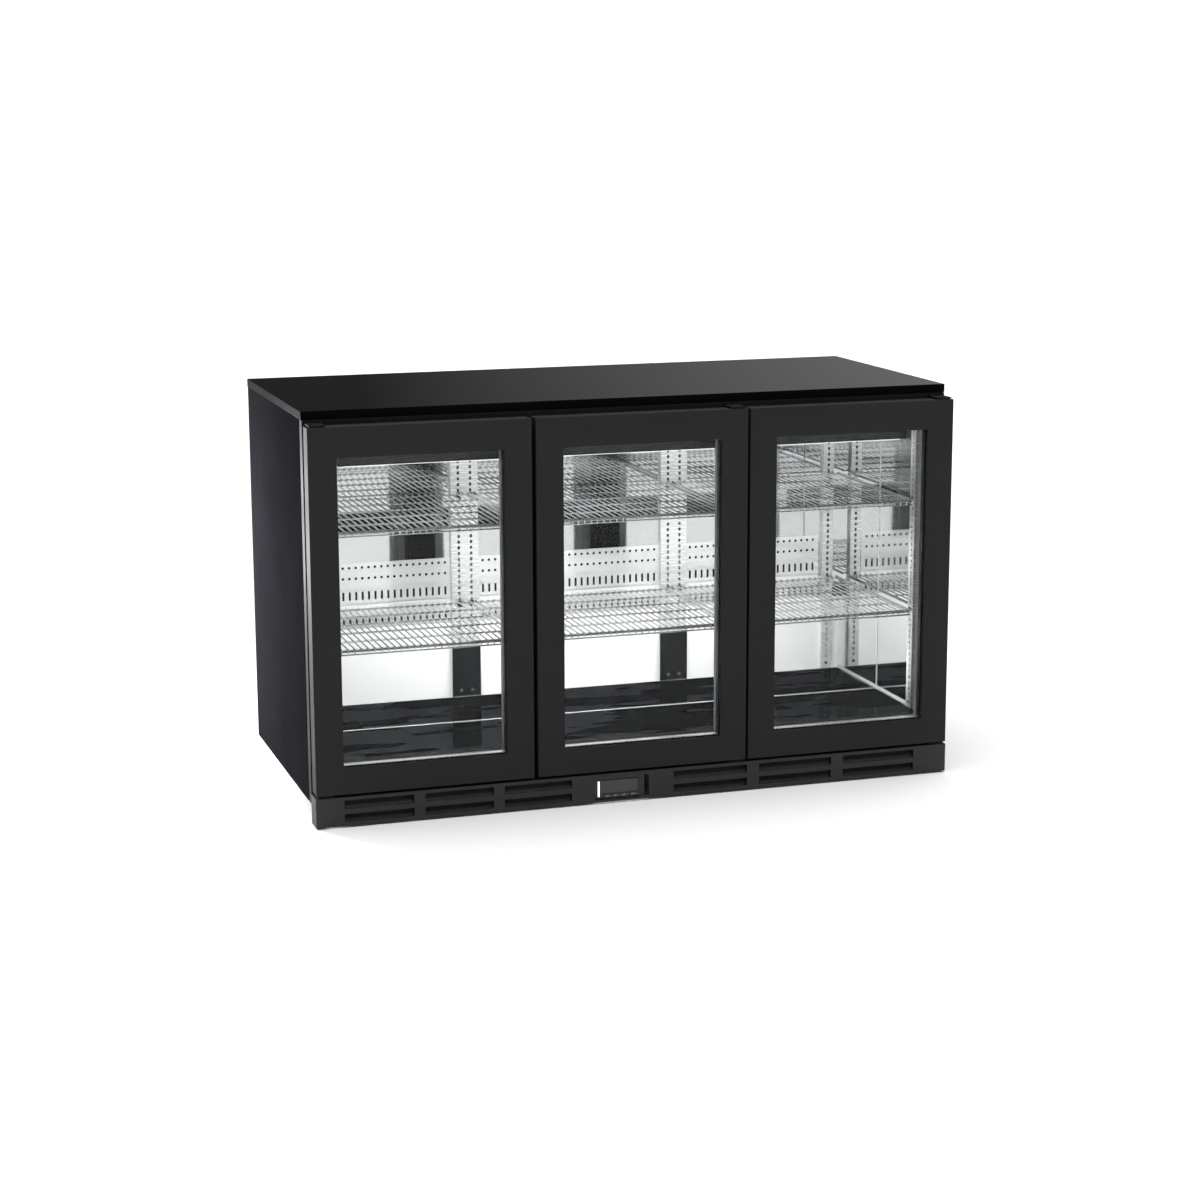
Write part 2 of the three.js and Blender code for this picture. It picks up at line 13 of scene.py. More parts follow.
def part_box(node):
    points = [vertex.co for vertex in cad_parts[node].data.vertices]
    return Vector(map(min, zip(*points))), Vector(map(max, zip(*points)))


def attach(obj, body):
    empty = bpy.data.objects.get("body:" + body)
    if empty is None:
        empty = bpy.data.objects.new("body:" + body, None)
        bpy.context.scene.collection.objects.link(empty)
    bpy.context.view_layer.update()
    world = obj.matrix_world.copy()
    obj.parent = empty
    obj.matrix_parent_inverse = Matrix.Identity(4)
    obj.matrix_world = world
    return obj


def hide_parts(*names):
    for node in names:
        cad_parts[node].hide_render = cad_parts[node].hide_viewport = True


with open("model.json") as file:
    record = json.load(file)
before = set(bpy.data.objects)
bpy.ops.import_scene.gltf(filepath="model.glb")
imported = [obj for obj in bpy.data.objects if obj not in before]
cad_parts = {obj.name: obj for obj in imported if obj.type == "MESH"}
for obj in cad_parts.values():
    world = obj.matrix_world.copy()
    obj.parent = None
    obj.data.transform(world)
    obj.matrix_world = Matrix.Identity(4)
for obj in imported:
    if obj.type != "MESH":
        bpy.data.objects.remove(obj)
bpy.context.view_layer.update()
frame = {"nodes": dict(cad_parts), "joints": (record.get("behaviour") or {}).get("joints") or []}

MM = 0.001
SIDES = (("left", -1), ("right", 1))
DOORS = ("left", "middle", "right")
CABINET = "cabinet"


# ---- Camera -------------------------------------------------------------------
def make_camera():
    """Stands to the left of the fridge and looks right and slightly down."""
    data = bpy.data.cameras.new("camera")
    data.sensor_width = 36
    data.lens = 76.42
    camera = bpy.data.objects.new("camera", data)
    bpy.context.scene.collection.objects.link(camera)
    camera.location = (-1.61276, -5.03737, 1.44304)
    turned_right, looking_down, roll = 17.88, 11.62, 0.17
    camera.rotation_euler = (
        math.radians(90 - looking_down),
        math.radians(roll),
        math.radians(-turned_right),
    )
    bpy.context.scene.camera = camera


make_camera()


# ---- Mesh helpers -------------------------------------------------------------
def span(node):
    """A CAD node's box as ((x0, x1), (y0, y1), (z0, z1))."""
    low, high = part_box(node)
    return tuple((low[i], high[i]) for i in range(3))


def add_box(bm, x, y, z):
    """A closed box in bm, given as three (low, high) pairs; returns its vertices."""
    centre = Vector(((x[0] + x[1]) / 2, (y[0] + y[1]) / 2, (z[0] + z[1]) / 2))
    size = Matrix.Diagonal((x[1] - x[0], y[1] - y[0], z[1] - z[0], 1))
    made = bmesh.ops.create_cube(bm, size=1, matrix=Matrix.Translation(centre) @ size)
    return made["verts"]


def grown(pair, by):
    """A (low, high) pair moved outwards by a length, or inwards by a negative one."""
    return pair[0] - by, pair[1] + by


def add_rod(bm, start, end, radius, sides=12):
    """A capped rod from start to end; returns its vertices."""
    start, end = Vector(start), Vector(end)
    along = end - start
    turn = along.to_track_quat("Z", "Y").to_matrix().to_4x4()
    made = bmesh.ops.create_cone(
        bm,
        cap_ends=True,
        segments=sides,
        radius1=radius,
        radius2=radius,
        depth=along.length,
        matrix=Matrix.Translation((start + end) / 2) @ turn,
    )
    return made["verts"]


def add_path(bm, points, radius, sides=8):
    """A capped round wire along a list of points."""
    points = [Vector(p) for p in points]
    turns = [2 * math.pi * k / sides for k in range(sides)]
    rings = []
    up = Vector((0, 0, 1))
    for i, point in enumerate(points):
        ahead = points[min(i + 1, len(points) - 1)] - points[max(i - 1, 0)]
        ahead.normalize()
        side = ahead.cross(up)
        if side.length < 0.2:
            side = Vector((1, 0, 0))
        side.normalize()
        normal = side.cross(ahead).normalized()
        spots = [point + radius * (math.cos(a) * side + math.sin(a) * normal) for a in turns]
        rings.append([bm.verts.new(spot) for spot in spots])
    for first, second in zip(rings, rings[1:]):
        for k in range(sides):
            after = (k + 1) % sides
            bm.faces.new((first[k], first[after], second[after], second[k]))
    bm.faces.new(list(reversed(rings[0])))
    bm.faces.new(rings[-1])


def add_turned(bm, profile, place, segments):
    """A solid of revolution about the Z axis of place; the (radius, height) points start and end on it."""
    turns = [2 * math.pi * k / segments for k in range(segments)]
    rings = []
    for radius, height in profile:
        spots = [(radius * math.cos(a), radius * math.sin(a), height) for a in turns]
        if radius == 0:
            spots = [(0, 0, height)]
        rings.append([bm.verts.new(place @ Vector(spot)) for spot in spots])
    for first, second in zip(rings, rings[1:]):
        for k in range(segments):
            n = (k + 1) % segments
            corners = [ring[i % len(ring)] for ring, i in ((first, k), (first, n), (second, n), (second, k))]
            unique = list(dict.fromkeys(corners))
            if len(unique) > 2:
                bm.faces.new(unique)


def add_lathe(bm, profile, centre, axis="Z", segments=32):
    """A solid of revolution about the world axis through centre."""
    turn = {
        "Z": Matrix(),
        "Y": Matrix.Rotation(-math.pi / 2, 4, "X"),
        "X": Matrix.Rotation(math.pi / 2, 4, "Y"),
    }
    add_turned(bm, profile, Matrix.Translation(Vector(centre)) @ turn[axis], segments)


def add_prism(bm, outline, place, ends):
    """A closed prism; place(a, b, end) puts each (a, b) point of the outline at one of the two ends."""
    first, second = ([bm.verts.new(place(a, b, end)) for a, b in outline] for end in ends)
    bm.faces.new(first)
    bm.faces.new(second)
    for k in range(len(outline)):
        n = (k + 1) % len(outline)
        bm.faces.new((first[k], first[n], second[n], second[k]))


def add_ring(bm, outer_x, outer_z, inner_x, inner_z, y):
    """A rectangular picture frame, mitred at its corners, as a closed solid."""
    corners = []
    for depth in y:
        for xs, zs in ((outer_x, outer_z), (inner_x, inner_z)):
            loop = [(xs[0], zs[0]), (xs[1], zs[0]), (xs[1], zs[1]), (xs[0], zs[1])]
            corners.append([bm.verts.new((cx, depth, cz)) for cx, cz in loop])
    outer_front, inner_front, outer_back, inner_back = corners
    for k in range(4):
        n = (k + 1) % 4
        bm.faces.new((outer_front[k], outer_front[n], inner_front[n], inner_front[k]))
        bm.faces.new((outer_back[n], outer_back[k], inner_back[k], inner_back[n]))
        bm.faces.new((outer_front[n], outer_front[k], outer_back[k], outer_back[n]))
        bm.faces.new((inner_front[k], inner_front[n], inner_back[n], inner_back[k]))


def box_piece(name, x, y, z, material, edge=0, segments=2, **finish):
    """A finished box whose edges are rounded by the length edge."""
    bm = bmesh.new()
    add_box(bm, x, y, z)
    if edge:
        bevel(bm, edge, segments)
    return finish_piece(bm, name, MATERIAL[material], **finish)


def ring_piece(name, outer, inner, y, material, edge=0, segments=2, **finish):
    """A finished rectangular ring; outer and inner are (x, z) pairs of ranges."""
    bm = bmesh.new()
    add_ring(bm, *outer, *inner, y)
    if edge:
        bevel(bm, edge, segments)
    return finish_piece(bm, name, MATERIAL[material], **finish)


def bevel(bm, width, segments=2, angle=30, verts=None):
    """Rounds the sharp edges of bm, or of the pieces made from verts."""
    chosen = set(verts) if verts is not None else None
    bmesh.ops.recalc_face_normals(bm, faces=bm.faces)
    bm.normal_update()
    limit = math.radians(angle)
    edges = [
        e
        for e in bm.edges
        if len(e.link_faces) == 2
        and e.calc_face_angle(0) > limit
        and (chosen is None or (e.verts[0] in chosen and e.verts[1] in chosen))
    ]
    bmesh.ops.bevel(
        bm, geom=edges, offset=width, segments=segments, affect="EDGES", profile=0.5, clamp_overlap=True
    )


def broad_faces(bm):
    """Indices of the large level or upright faces, which stay flat between their rounded edges."""
    bm.faces.ensure_lookup_table()
    low = [min(v.co[i] for v in bm.verts) for i in range(3)]
    size = [max(v.co[i] for v in bm.verts) - low[i] for i in range(3)]
    found = []
    for face in bm.faces:
        axis = max(range(3), key=lambda i: abs(face.normal[i]))
        if abs(face.normal[axis]) > 0.9999:
            whole = size[(axis + 1) % 3] * size[(axis + 2) % 3]
            if face.calc_area() > 0.2 * whole:
                found.append(face.index)
    return found


def finish_piece(bm, name, material, body=CABINET, slot=None, replaces=(), smooth=30):
    """Turns bm into a named object that rides on a CAD body."""
    bmesh.ops.recalc_face_normals(bm, faces=bm.faces)
    flat = broad_faces(bm)
    mesh = bpy.data.meshes.new(name)
    bm.to_mesh(mesh)
    bm.free()
    mesh.materials.append(material)
    if smooth:
        mesh.shade_smooth()
        mesh.set_sharp_from_angle(angle=math.radians(smooth))
        for index in flat:
            mesh.polygons[index].use_smooth = False
    piece = bpy.data.objects.new(name, mesh)
    bpy.context.scene.collection.objects.link(piece)
    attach(piece, body)
    if replaces:
        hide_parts(*replaces)
    return piece


# ---- Materials ----------------------------------------------------------------
class Shader:
    """A Principled material with helpers for procedural detail."""

    def __init__(self, name, color, roughness, metallic=0.0, specular=0.5):
        self.material = bpy.data.materials.new(name)
        self.material.use_nodes = True
        self.tree = self.material.node_tree
        self.surface = self.tree.nodes["Principled BSDF"]
        self.color, self.roughness = color, roughness
        self.set("Base Color", (*color, 1))
        self.set("Roughness", roughness)
        self.set("Metallic", metallic)
        self.set("Specular IOR Level", specular)

    def set(self, socket, value):
        self.surface.inputs[socket].default_value = value

    def node(self, kind):
        return self.tree.nodes.new(kind)

    def link(self, source, target):
        self.tree.links.new(source, target)

    def drive(self, socket, source):
        """Feeds one of the surface's sockets from a node."""
        self.link(source, self.surface.inputs[socket])

    def position(self, scale=(1, 1, 1)):
        """Object coordinates in metres, stretched by scale."""
        place = self.node("ShaderNodeTexCoord")
        mapping = self.node("ShaderNodeMapping")
        mapping.inputs["Scale"].default_value = scale
        self.link(place.outputs["Object"], mapping.inputs["Vector"])
        return mapping.outputs["Vector"]

    def noise(self, frequency, detail, scale=(1, 1, 1)):
        made = self.node("ShaderNodeTexNoise")
        made.inputs["Scale"].default_value = frequency
        made.inputs["Detail"].default_value = detail
        made.inputs["Roughness"].default_value = 0.5
        self.link(self.position(scale), made.inputs["Vector"])
        return made.outputs["Fac"]

    def cells(self, frequency):
        """The outputs of a Voronoi pattern."""
        made = self.node("ShaderNodeTexVoronoi")
        made.inputs["Scale"].default_value = frequency
        self.link(self.position(), made.inputs["Vector"])
        return made.outputs

    def ramp(self, source, low, high, start=0.3, end=0.7):
        """Maps a factor to a number between low and high."""
        made = self.node("ShaderNodeMapRange")
        made.inputs["From Min"].default_value = start
        made.inputs["From Max"].default_value = end
        made.inputs["To Min"].default_value = low
        made.inputs["To Max"].default_value = high
        self.link(source, made.inputs["Value"])
        return made.outputs["Result"]

    def colours(self, source, low, high, start=0.3, end=0.7):
        """Maps a factor to a colour between low and high."""
        made = self.node("ShaderNodeValToRGB")
        made.color_ramp.elements[0].position = start
        made.color_ramp.elements[0].color = (*low, 1)
        made.color_ramp.elements[1].position = end
        made.color_ramp.elements[1].color = (*high, 1)
        self.link(source, made.inputs["Fac"])
        return made.outputs["Color"]

    def vary(self, source, shades, gloss):
        """Lets a factor move the colour and the roughness between two multiples of themselves."""
        self.drive("Base Color", self.colours(source, *(scaled(self.color, share) for share in shades)))
        self.drive("Roughness", self.ramp(source, *(self.roughness * share for share in gloss)))

    def bump(self, height, strength, distance):
        made = self.node("ShaderNodeBump")
        made.inputs["Strength"].default_value = strength
        made.inputs["Distance"].default_value = distance
        self.link(height, made.inputs["Height"])
        self.drive("Normal", made.outputs["Normal"])


def scaled(color, factor):
    return tuple(channel * factor for channel in color)


def painted(name, color, roughness, specular):
    """Powder-coated sheet: fine orange peel, faint clouds in the colour and gloss."""
    shader = Shader(name, color, roughness, specular=specular)
    shader.vary(shader.noise(7.0, 4.0), (0.88, 1.12), (0.92, 1.1))
    shader.bump(shader.noise(900.0, 2.0), 0.25, 0.00006)
    return shader.material


def moulded(name, color, roughness, specular):
    """Moulded plastic: very fine spark grain."""
    shader = Shader(name, color, roughness, specular=specular)
    shader.vary(shader.noise(14.0, 3.0), (0.9, 1.1), (0.9, 1.12))
    shader.bump(shader.noise(2200.0, 1.0), 0.3, 0.00005)
    return shader.material


def gloss_black(name, color, roughness):
    """Lacquered worktop: deep gloss with faint smears and settled dust."""
    shader = Shader(name, color, roughness, specular=0.28)
    smears = shader.noise(5.0, 5.0, (1, 2.2, 1))
    shader.drive("Roughness", shader.ramp(smears, roughness * 0.85, roughness * 1.15))
    dust = shader.noise(650.0, 1.0)
    shader.drive("Base Color", shader.colours(dust, color, scaled(color, 1.6), 0.62, 0.8))
    shader.bump(shader.noise(2.2, 2.0), 0.03, 0.001)
    return shader.material


def mirror_sheet(name, color, roughness):
    """Polished stainless sheet: long soft waves and fine polishing lines."""
    shader = Shader(name, color, roughness, metallic=1.0)
    lines = shader.noise(60.0, 2.0, (1, 1, 14))
    shader.drive("Roughness", shader.ramp(lines, roughness * 0.7, roughness * 1.5))
    shader.drive("Base Color", shader.colours(shader.noise(3.0, 4.0), scaled(color, 0.94), color))
    shader.bump(shader.noise(2.6, 1.0), 0.5, 0.0016)
    return shader.material


def satin_sheet(name, color, roughness, metallic=0.2):
    """Bright satin stainless sheet with its fine horizontal grain."""
    shader = Shader(name, color, roughness, metallic=metallic)
    grain = shader.noise(900.0, 2.0, (0.02, 1, 1))
    shader.vary(grain, (0.95, 1.0), (0.85, 1.15))
    shader.bump(grain, 0.1, 0.00005)
    return shader.material


def dark_mirror(name, color, reflection_dark):
    """Polished floor sheet, darker than the other liner sheets, with long waves and soft dark pools that are
    painted reflection.
    """
    shader = Shader(name, color, 0.03, metallic=1.0)
    shader.set("Specular Tint", (0.12, 0.12, 0.124, 1))
    # The dark pools are painted reflection: wavy dark shapes coloured into the sheet.
    reflection_pools = shader.noise(4.2, 1.5, (1, 4.5, 1))
    shader.drive("Base Color", shader.colours(reflection_pools, color, reflection_dark, 0.52, 0.535))
    shader.bump(shader.noise(3.4, 1.0), 0.5, 0.0022)
    return shader.material


def plated(name, color, roughness, frequency=120.0, metallic=1.0):
    """Chromed or zinc-plated steel with fine unevenness."""
    shader = Shader(name, color, roughness, metallic=metallic)
    shader.vary(shader.noise(frequency, 3.0), (0.86, 1.0), (0.75, 1.35))
    shader.bump(shader.noise(frequency * 4, 2.0), 0.15, 0.00008)
    return shader.material


def galvanised(name, color, roughness):
    """Galvanised sheet with its crystal pattern."""
    shader = Shader(name, color, roughness, metallic=0.9)
    cells = shader.cells(130.0)
    shades = shader.colours(cells["Color"], scaled(color, 0.93), scaled(color, 1.06), 0.1, 0.9)
    shader.drive("Base Color", shades)
    shader.drive("Roughness", shader.ramp(cells["Distance"], roughness * 0.8, roughness * 1.3, 0, 0.6))
    shader.bump(shader.noise(300.0, 3.0), 0.2, 0.00006)
    return shader.material


def rubbery(name, color, roughness):
    """Black rubber with a faint bloom."""
    shader = Shader(name, color, roughness, specular=0.3)
    shader.vary(shader.noise(45.0, 4.0), (0.8, 1.35), (0.85, 1.15))
    shader.bump(shader.noise(1200.0, 2.0), 0.3, 0.00008)
    return shader.material


def foamed(name, color):
    """Rigid insulation foam: a cut, open-celled look."""
    shader = Shader(name, color, 0.95, specular=0.2)
    pores = shader.cells(420.0)["Distance"]
    shader.drive("Base Color", shader.colours(pores, scaled(color, 0.7), color, 0.05, 0.5))
    shader.bump(pores, 0.5, 0.0006)
    return shader.material


def pane_glass(name, tint, shine):
    """Clear float glass: see-through straight on, reflecting at a slant."""
    material = bpy.data.materials.new(name)
    material.use_nodes = True
    tree = material.node_tree
    tree.nodes.clear()
    output = tree.nodes.new("ShaderNodeOutputMaterial")
    mix = tree.nodes.new("ShaderNodeMixShader")
    clear = tree.nodes.new("ShaderNodeBsdfTransparent")
    clear.inputs["Color"].default_value = (*tint, 1)
    gloss = tree.nodes.new("ShaderNodeBsdfGlossy")
    gloss.inputs["Roughness"].default_value = 0.02
    gloss.inputs["Color"].default_value = (*shine, 1)
    slant = tree.nodes.new("ShaderNodeLayerWeight")
    slant.inputs["Blend"].default_value = 0.5
    steep = tree.nodes.new("ShaderNodeMath")
    steep.operation = "POWER"
    steep.inputs[1].default_value = 5.0
    share = tree.nodes.new("ShaderNodeMath")
    share.operation = "MULTIPLY_ADD"
    share.inputs[1].default_value = 0.8
    share.inputs[2].default_value = 0.04
    tree.links.new(slant.outputs["Facing"], steep.inputs[0])
    tree.links.new(steep.outputs["Value"], share.inputs[0])
    tree.links.new(share.outputs["Value"], mix.inputs["Fac"])
    tree.links.new(clear.outputs["BSDF"], mix.inputs[1])
    tree.links.new(gloss.outputs["BSDF"], mix.inputs[2])
    tree.links.new(mix.outputs["Shader"], output.inputs["Surface"])
    return material


def glowing(name, color, strength):
    """A glowing, slightly cloudy surface: a backlit light guide for the lamp strips, and a painted highlight for
    the controller's bar.
    """
    shader = Shader(name, scaled(color, 0.4), 0.4)
    shader.set("Emission Strength", strength)
    clouds = shader.noise(260.0, 1.0)
    shader.drive("Emission Color", shader.colours(clouds, scaled(color, 0.85), color))
    return shader.material


MATERIAL = {
    "worktop": gloss_black("worktop_gloss", (0.0035, 0.0034, 0.0045), 0.04),
    "side": painted("side_paint", (0.0125, 0.0122, 0.0145), 0.7, 0.0),
    "door": painted("door_paint", (0.0128, 0.0131, 0.013), 0.6, 0.16),
    "frame": painted("frame_paint", (0.005, 0.005, 0.0054), 0.55, 0.1),
    "edge": painted("worktop_edge_paint", (0.002, 0.002, 0.0022), 0.5, 0.02),
    "plinth": moulded("plinth_plastic", (0.017, 0.0172, 0.0174), 0.5, 0.28),
    "housing": moulded("controller_plastic", (0.012, 0.012, 0.0125), 0.32, 0.4),
    "lens": moulded("display_lens", (0.035, 0.037, 0.04), 0.12, 0.5),
    "key": moulded("key_plastic", (0.16, 0.165, 0.17), 0.42, 0.4),
    # Glows white though it is no lamp: a painted highlight on the controller.
    "painted_highlight": glowing("painted_highlight_glow", (0.92, 0.96, 1.0), 2.2),
    "led": glowing("led_light", (1.0, 1.0, 1.0), 1.6),
    "rubber": rubbery("foot_rubber_black", (0.012, 0.012, 0.012), 0.7),
    "gasket": rubbery("gasket_black", (0.014, 0.014, 0.015), 0.55),
    "glass": pane_glass("pane_clear", (0.985, 0.99, 0.988), (0.13, 0.135, 0.14)),
    "spacer": plated("spacer_aluminium", (0.92, 0.93, 0.94), 0.3, 300.0),
    "spacer_dark": plated("spacer_black", (0.02, 0.022, 0.026), 0.4, 300.0, 0.3),
    "zinc": galvanised("zinc_sheet", (0.42, 0.43, 0.44), 0.42),
    "mirror": mirror_sheet("mirror_steel_sheet", (0.86, 0.865, 0.87), 0.035),
    "satin": satin_sheet("satin_steel", (0.93, 0.93, 0.93), 0.42),
    "cover": satin_sheet("satin_cover", (0.93, 0.93, 0.93), 0.08, 0.5),
    "inner": moulded("door_inner_grey", (0.42, 0.425, 0.43), 0.5, 0.3),
    "strip": satin_sheet("satin_strip", (0.9, 0.9, 0.9), 0.25, 0.55),
    # The floor sheet's second colour is the painted reflection in its dark pools.
    "floor_mirror": dark_mirror("mirror_steel_floor", (0.26, 0.262, 0.266), (0.01, 0.01, 0.011)),
    "wire": plated("chrome_wire_bright", (0.82, 0.83, 0.84), 0.13, 160.0, 0.92),
    "screw": plated("screw_steel", (0.55, 0.56, 0.57), 0.3, 400.0),
    "foam": foamed("insulation_foam", (0.62, 0.52, 0.27)),
    "fin": plated("fin_aluminium_dull", (0.66, 0.67, 0.68), 0.38, 220.0),
    "copper": plated("copper_pipe", (0.75, 0.33, 0.18), 0.28, 200.0),
    "machine": painted("compressor_enamel", (0.01, 0.01, 0.011), 0.3, 0.5),
    "black": moulded("black_plastic_fine", (0.014, 0.014, 0.015), 0.45, 0.35),
    # Near-black and dull: painted shade, put behind the plinth louvres and the air cover.
    "dark": moulded("painted_shade_inside", (0.004, 0.004, 0.0045), 0.7, 0.15),
}


# ---- Casing -------------------------------------------------------------------
def make_worktop():
    """A slab with a lacquered face and matt edges."""
    slab = box_piece("worktop_slab", *span("worktop"), "worktop", 1.2 * MM, 3,
                     slot="worktop_gloss_black", replaces=["worktop"])
    slab.data.materials.append(MATERIAL["edge"])
    for face in slab.data.polygons:
        face.material_index = 0 if face.normal.z > 0.9999 else 1


def make_side_panels():
    """Each side is a sheet with a folded front edge."""
    sheet, fold_depth = 3 * MM, 13 * MM
    for name, side in SIDES:
        node = f"side_panel_{name}"
        x, y, z = span(node)
        outer = x[0] if side < 0 else x[1]
        fold_end, skin_end = outer - side * fold_depth, outer - side * sheet
        outline = [(outer, y[0]), (fold_end, y[0]), (fold_end, y[0] + sheet)]
        outline += [(skin_end, y[0] + sheet), (skin_end, y[1]), (outer, y[1])]
        bm = bmesh.new()
        add_prism(bm, outline, lambda px, py, pz: (px, py, pz), z)
        bevel(bm, 1.0 * MM, 3)
        finish_piece(bm, f"side_skin_{name}", MATERIAL["side"], slot="side_black_paint", replaces=[node])


def add_sheet(bm, x_cuts, z_cuts, is_hole, depth, place):
    """A flat sheet on a grid of cuts, open where is_hole(column, row); place puts (u, v, w) in space."""
    columns, rows = len(x_cuts) - 1, len(z_cuts) - 1
    kept = {(i, j) for i in range(columns) for j in range(rows) if not is_hole(i, j)}
    made = {}

    def corner(i, j, level):
        if (i, j, level) not in made:
            made[(i, j, level)] = bm.verts.new(place(x_cuts[i], depth * level, z_cuts[j]))
        return made[(i, j, level)]

    around = ((0, 0), (1, 0), (1, 1), (0, 1))
    outside = ((0, -1), (1, 0), (0, 1), (-1, 0))
    for i, j in kept:
        for level in (0, 1):
            bm.faces.new([corner(i + a, j + b, level) for a, b in around])
        for k, step in enumerate(outside):
            if (i + step[0], j + step[1]) in kept:
                continue
            (a, b), (c, d) = around[k], around[(k + 1) % 4]
            wall = ((a, b, 0), (c, d, 0), (c, d, 1), (a, b, 1))
            bm.faces.new([corner(i + u, j + v, level) for u, v, level in wall])


def add_slotted_sheet(bm, x, z, columns, rows, opening, depth, place):
    """A sheet with a slot where each column crosses each row, and one (x, z) opening."""
    x_cuts = sorted({*x, *opening[0], *[edge for column in columns for edge in column]})
    z_cuts = sorted({*z, *opening[1], *[edge for row in rows for edge in row]})

    def within(value, pairs):
        return any(low < value < high for low, high in pairs)

    def is_hole(i, j):
        spot_x = (x_cuts[i] + x_cuts[i + 1]) / 2
        spot_z = (z_cuts[j] + z_cuts[j + 1]) / 2
        in_slot = within(spot_x, columns) and within(spot_z, rows)
        return in_slot or (within(spot_x, opening[:1]) and within(spot_z, opening[1:]))

    add_sheet(bm, x_cuts, z_cuts, is_hole, depth, place)


def add_screw(bm, centre, facing, radius=3.2 * MM, height=1.4 * MM):
    """A domed screw head standing on its centre, with a round drive recess."""
    turn = Vector(facing).to_track_quat("Z", "Y").to_matrix().to_4x4()
    sunk = -0.2 * MM
    profile = [(0, sunk), (radius, sunk), (radius, height * 0.35), (radius * 0.8, height * 0.8)]
    profile += [(radius * 0.45, height), (radius * 0.4, height * 0.55), (0, height * 0.5)]
    add_turned(bm, profile, Matrix.Translation(Vector(centre)) @ turn, 16)


def make_back():
    """Back panel with a field of hooded air slots, its screws, and the power inlet."""
    x, y, z = span("back_panel")
    thickness = 1.2 * MM
    face = y[1] - 1.6 * MM
    field = (160 * MM, 560 * MM)
    slot_columns, slot_gap = 6, 10 * MM
    slot_width = (field[1] - field[0] - slot_gap * (slot_columns - 1)) / slot_columns
    starts = [field[0] + i * (slot_width + slot_gap) for i in range(slot_columns)]
    columns = [(start, start + slot_width) for start in starts]
    rows = [(z[0] + (30 + 10 * i) * MM, z[0] + (34 + 10 * i) * MM) for i in range(14)]
    inlet_x, _, inlet_z = span("power_inlet")
    opening = (grown(inlet_x, 0.3 * MM), grown(inlet_z, 0.3 * MM))
    bm = bmesh.new()
    add_slotted_sheet(bm, x, z, columns, rows, opening, thickness, lambda u, v, w: (u, face - v, w))
    front = face - thickness
    hood_end = front - 5 * MM
    for column in columns:
        for row in rows:
            outline = [(front, row[1] + 1 * MM), (hood_end, row[0] + 1 * MM)]
            outline += [(hood_end, row[0] + 2 * MM), (front, row[1] + 2 * MM)]
            add_prism(bm, outline, lambda py, pz, px: (px, py, pz), column)
    finish_piece(bm, "back_sheet", MATERIAL["zinc"], slot="zinc_plate", replaces=["back_panel"])

    bm = bmesh.new()
    screws_x, screws_z = grown(x, -12 * MM), grown(z, -12 * MM)
    for i in range(7):
        across = screws_x[0] + (screws_x[1] - screws_x[0]) * i / 6
        for height in screws_z:
            add_screw(bm, (across, face, height), (0, 1, 0))
    for i in range(1, 4):
        height = z[0] + (z[1] - z[0]) * i / 4
        for across in screws_x:
            add_screw(bm, (across, face, height), (0, 1, 0))
    finish_piece(bm, "back_screws", MATERIAL["screw"], slot="zinc_plate")

    box_piece("inlet_body", *span("power_inlet"), "black", 1.2 * MM, 3,
              slot="black_plastic", replaces=["power_inlet"])
    centre_x, centre_z = sum(inlet_x) / 2, sum(inlet_z) / 2
    outer, inner = (
        (grown((centre_x, centre_x), half_x), grown((centre_z, centre_z), half_z))
        for half_x, half_z in ((14 * MM, 10 * MM), (12 * MM, 8 * MM))
    )
    ring_piece("inlet_collar", outer, inner, (y[1] - 4 * MM, y[1]), "black", slot="black_plastic")


def make_front_frame():
    """Header, sill and jambs as one ring, with two mullions in it."""
    x, y, z = span("front_frame")
    inner_x = grown(span("liner_floor")[0], -2.7 * MM)
    inner_z = (span("liner_floor")[2][1], span("liner_ceiling")[2][0] - 2 * MM)
    ring_piece("front_ring", (x, z), (inner_x, inner_z), y, "frame", 1.2 * MM,
               slot="door_black_paint", replaces=["front_frame"])
    for name, _ in SIDES:
        node = f"mullion_{name}"
        box_piece(f"mullion_bar_{name}", *span(node), "frame", 1.5 * MM, 3,
                  slot="door_black_paint", replaces=[node])


# ---- Plinth and controller ------------------------------------------------------
# For each field of louvres: its left end, one louvre's width, and the pitch.
LOUVRES = ((-617 * MM, 140 * MM, 163 * MM), (66 * MM, 160 * MM, 187 * MM))
LOUVRE_ROWS = ((11 * MM, 27 * MM), (38 * MM, 55 * MM))
LOUVRES_PER_FIELD = 3


def louvre_columns():
    """The louvres of both fields, as (low, high) in X."""
    found = []
    for start, width, pitch in LOUVRES:
        found += [(start + i * pitch, start + i * pitch + width) for i in range(LOUVRES_PER_FIELD)]
    return found


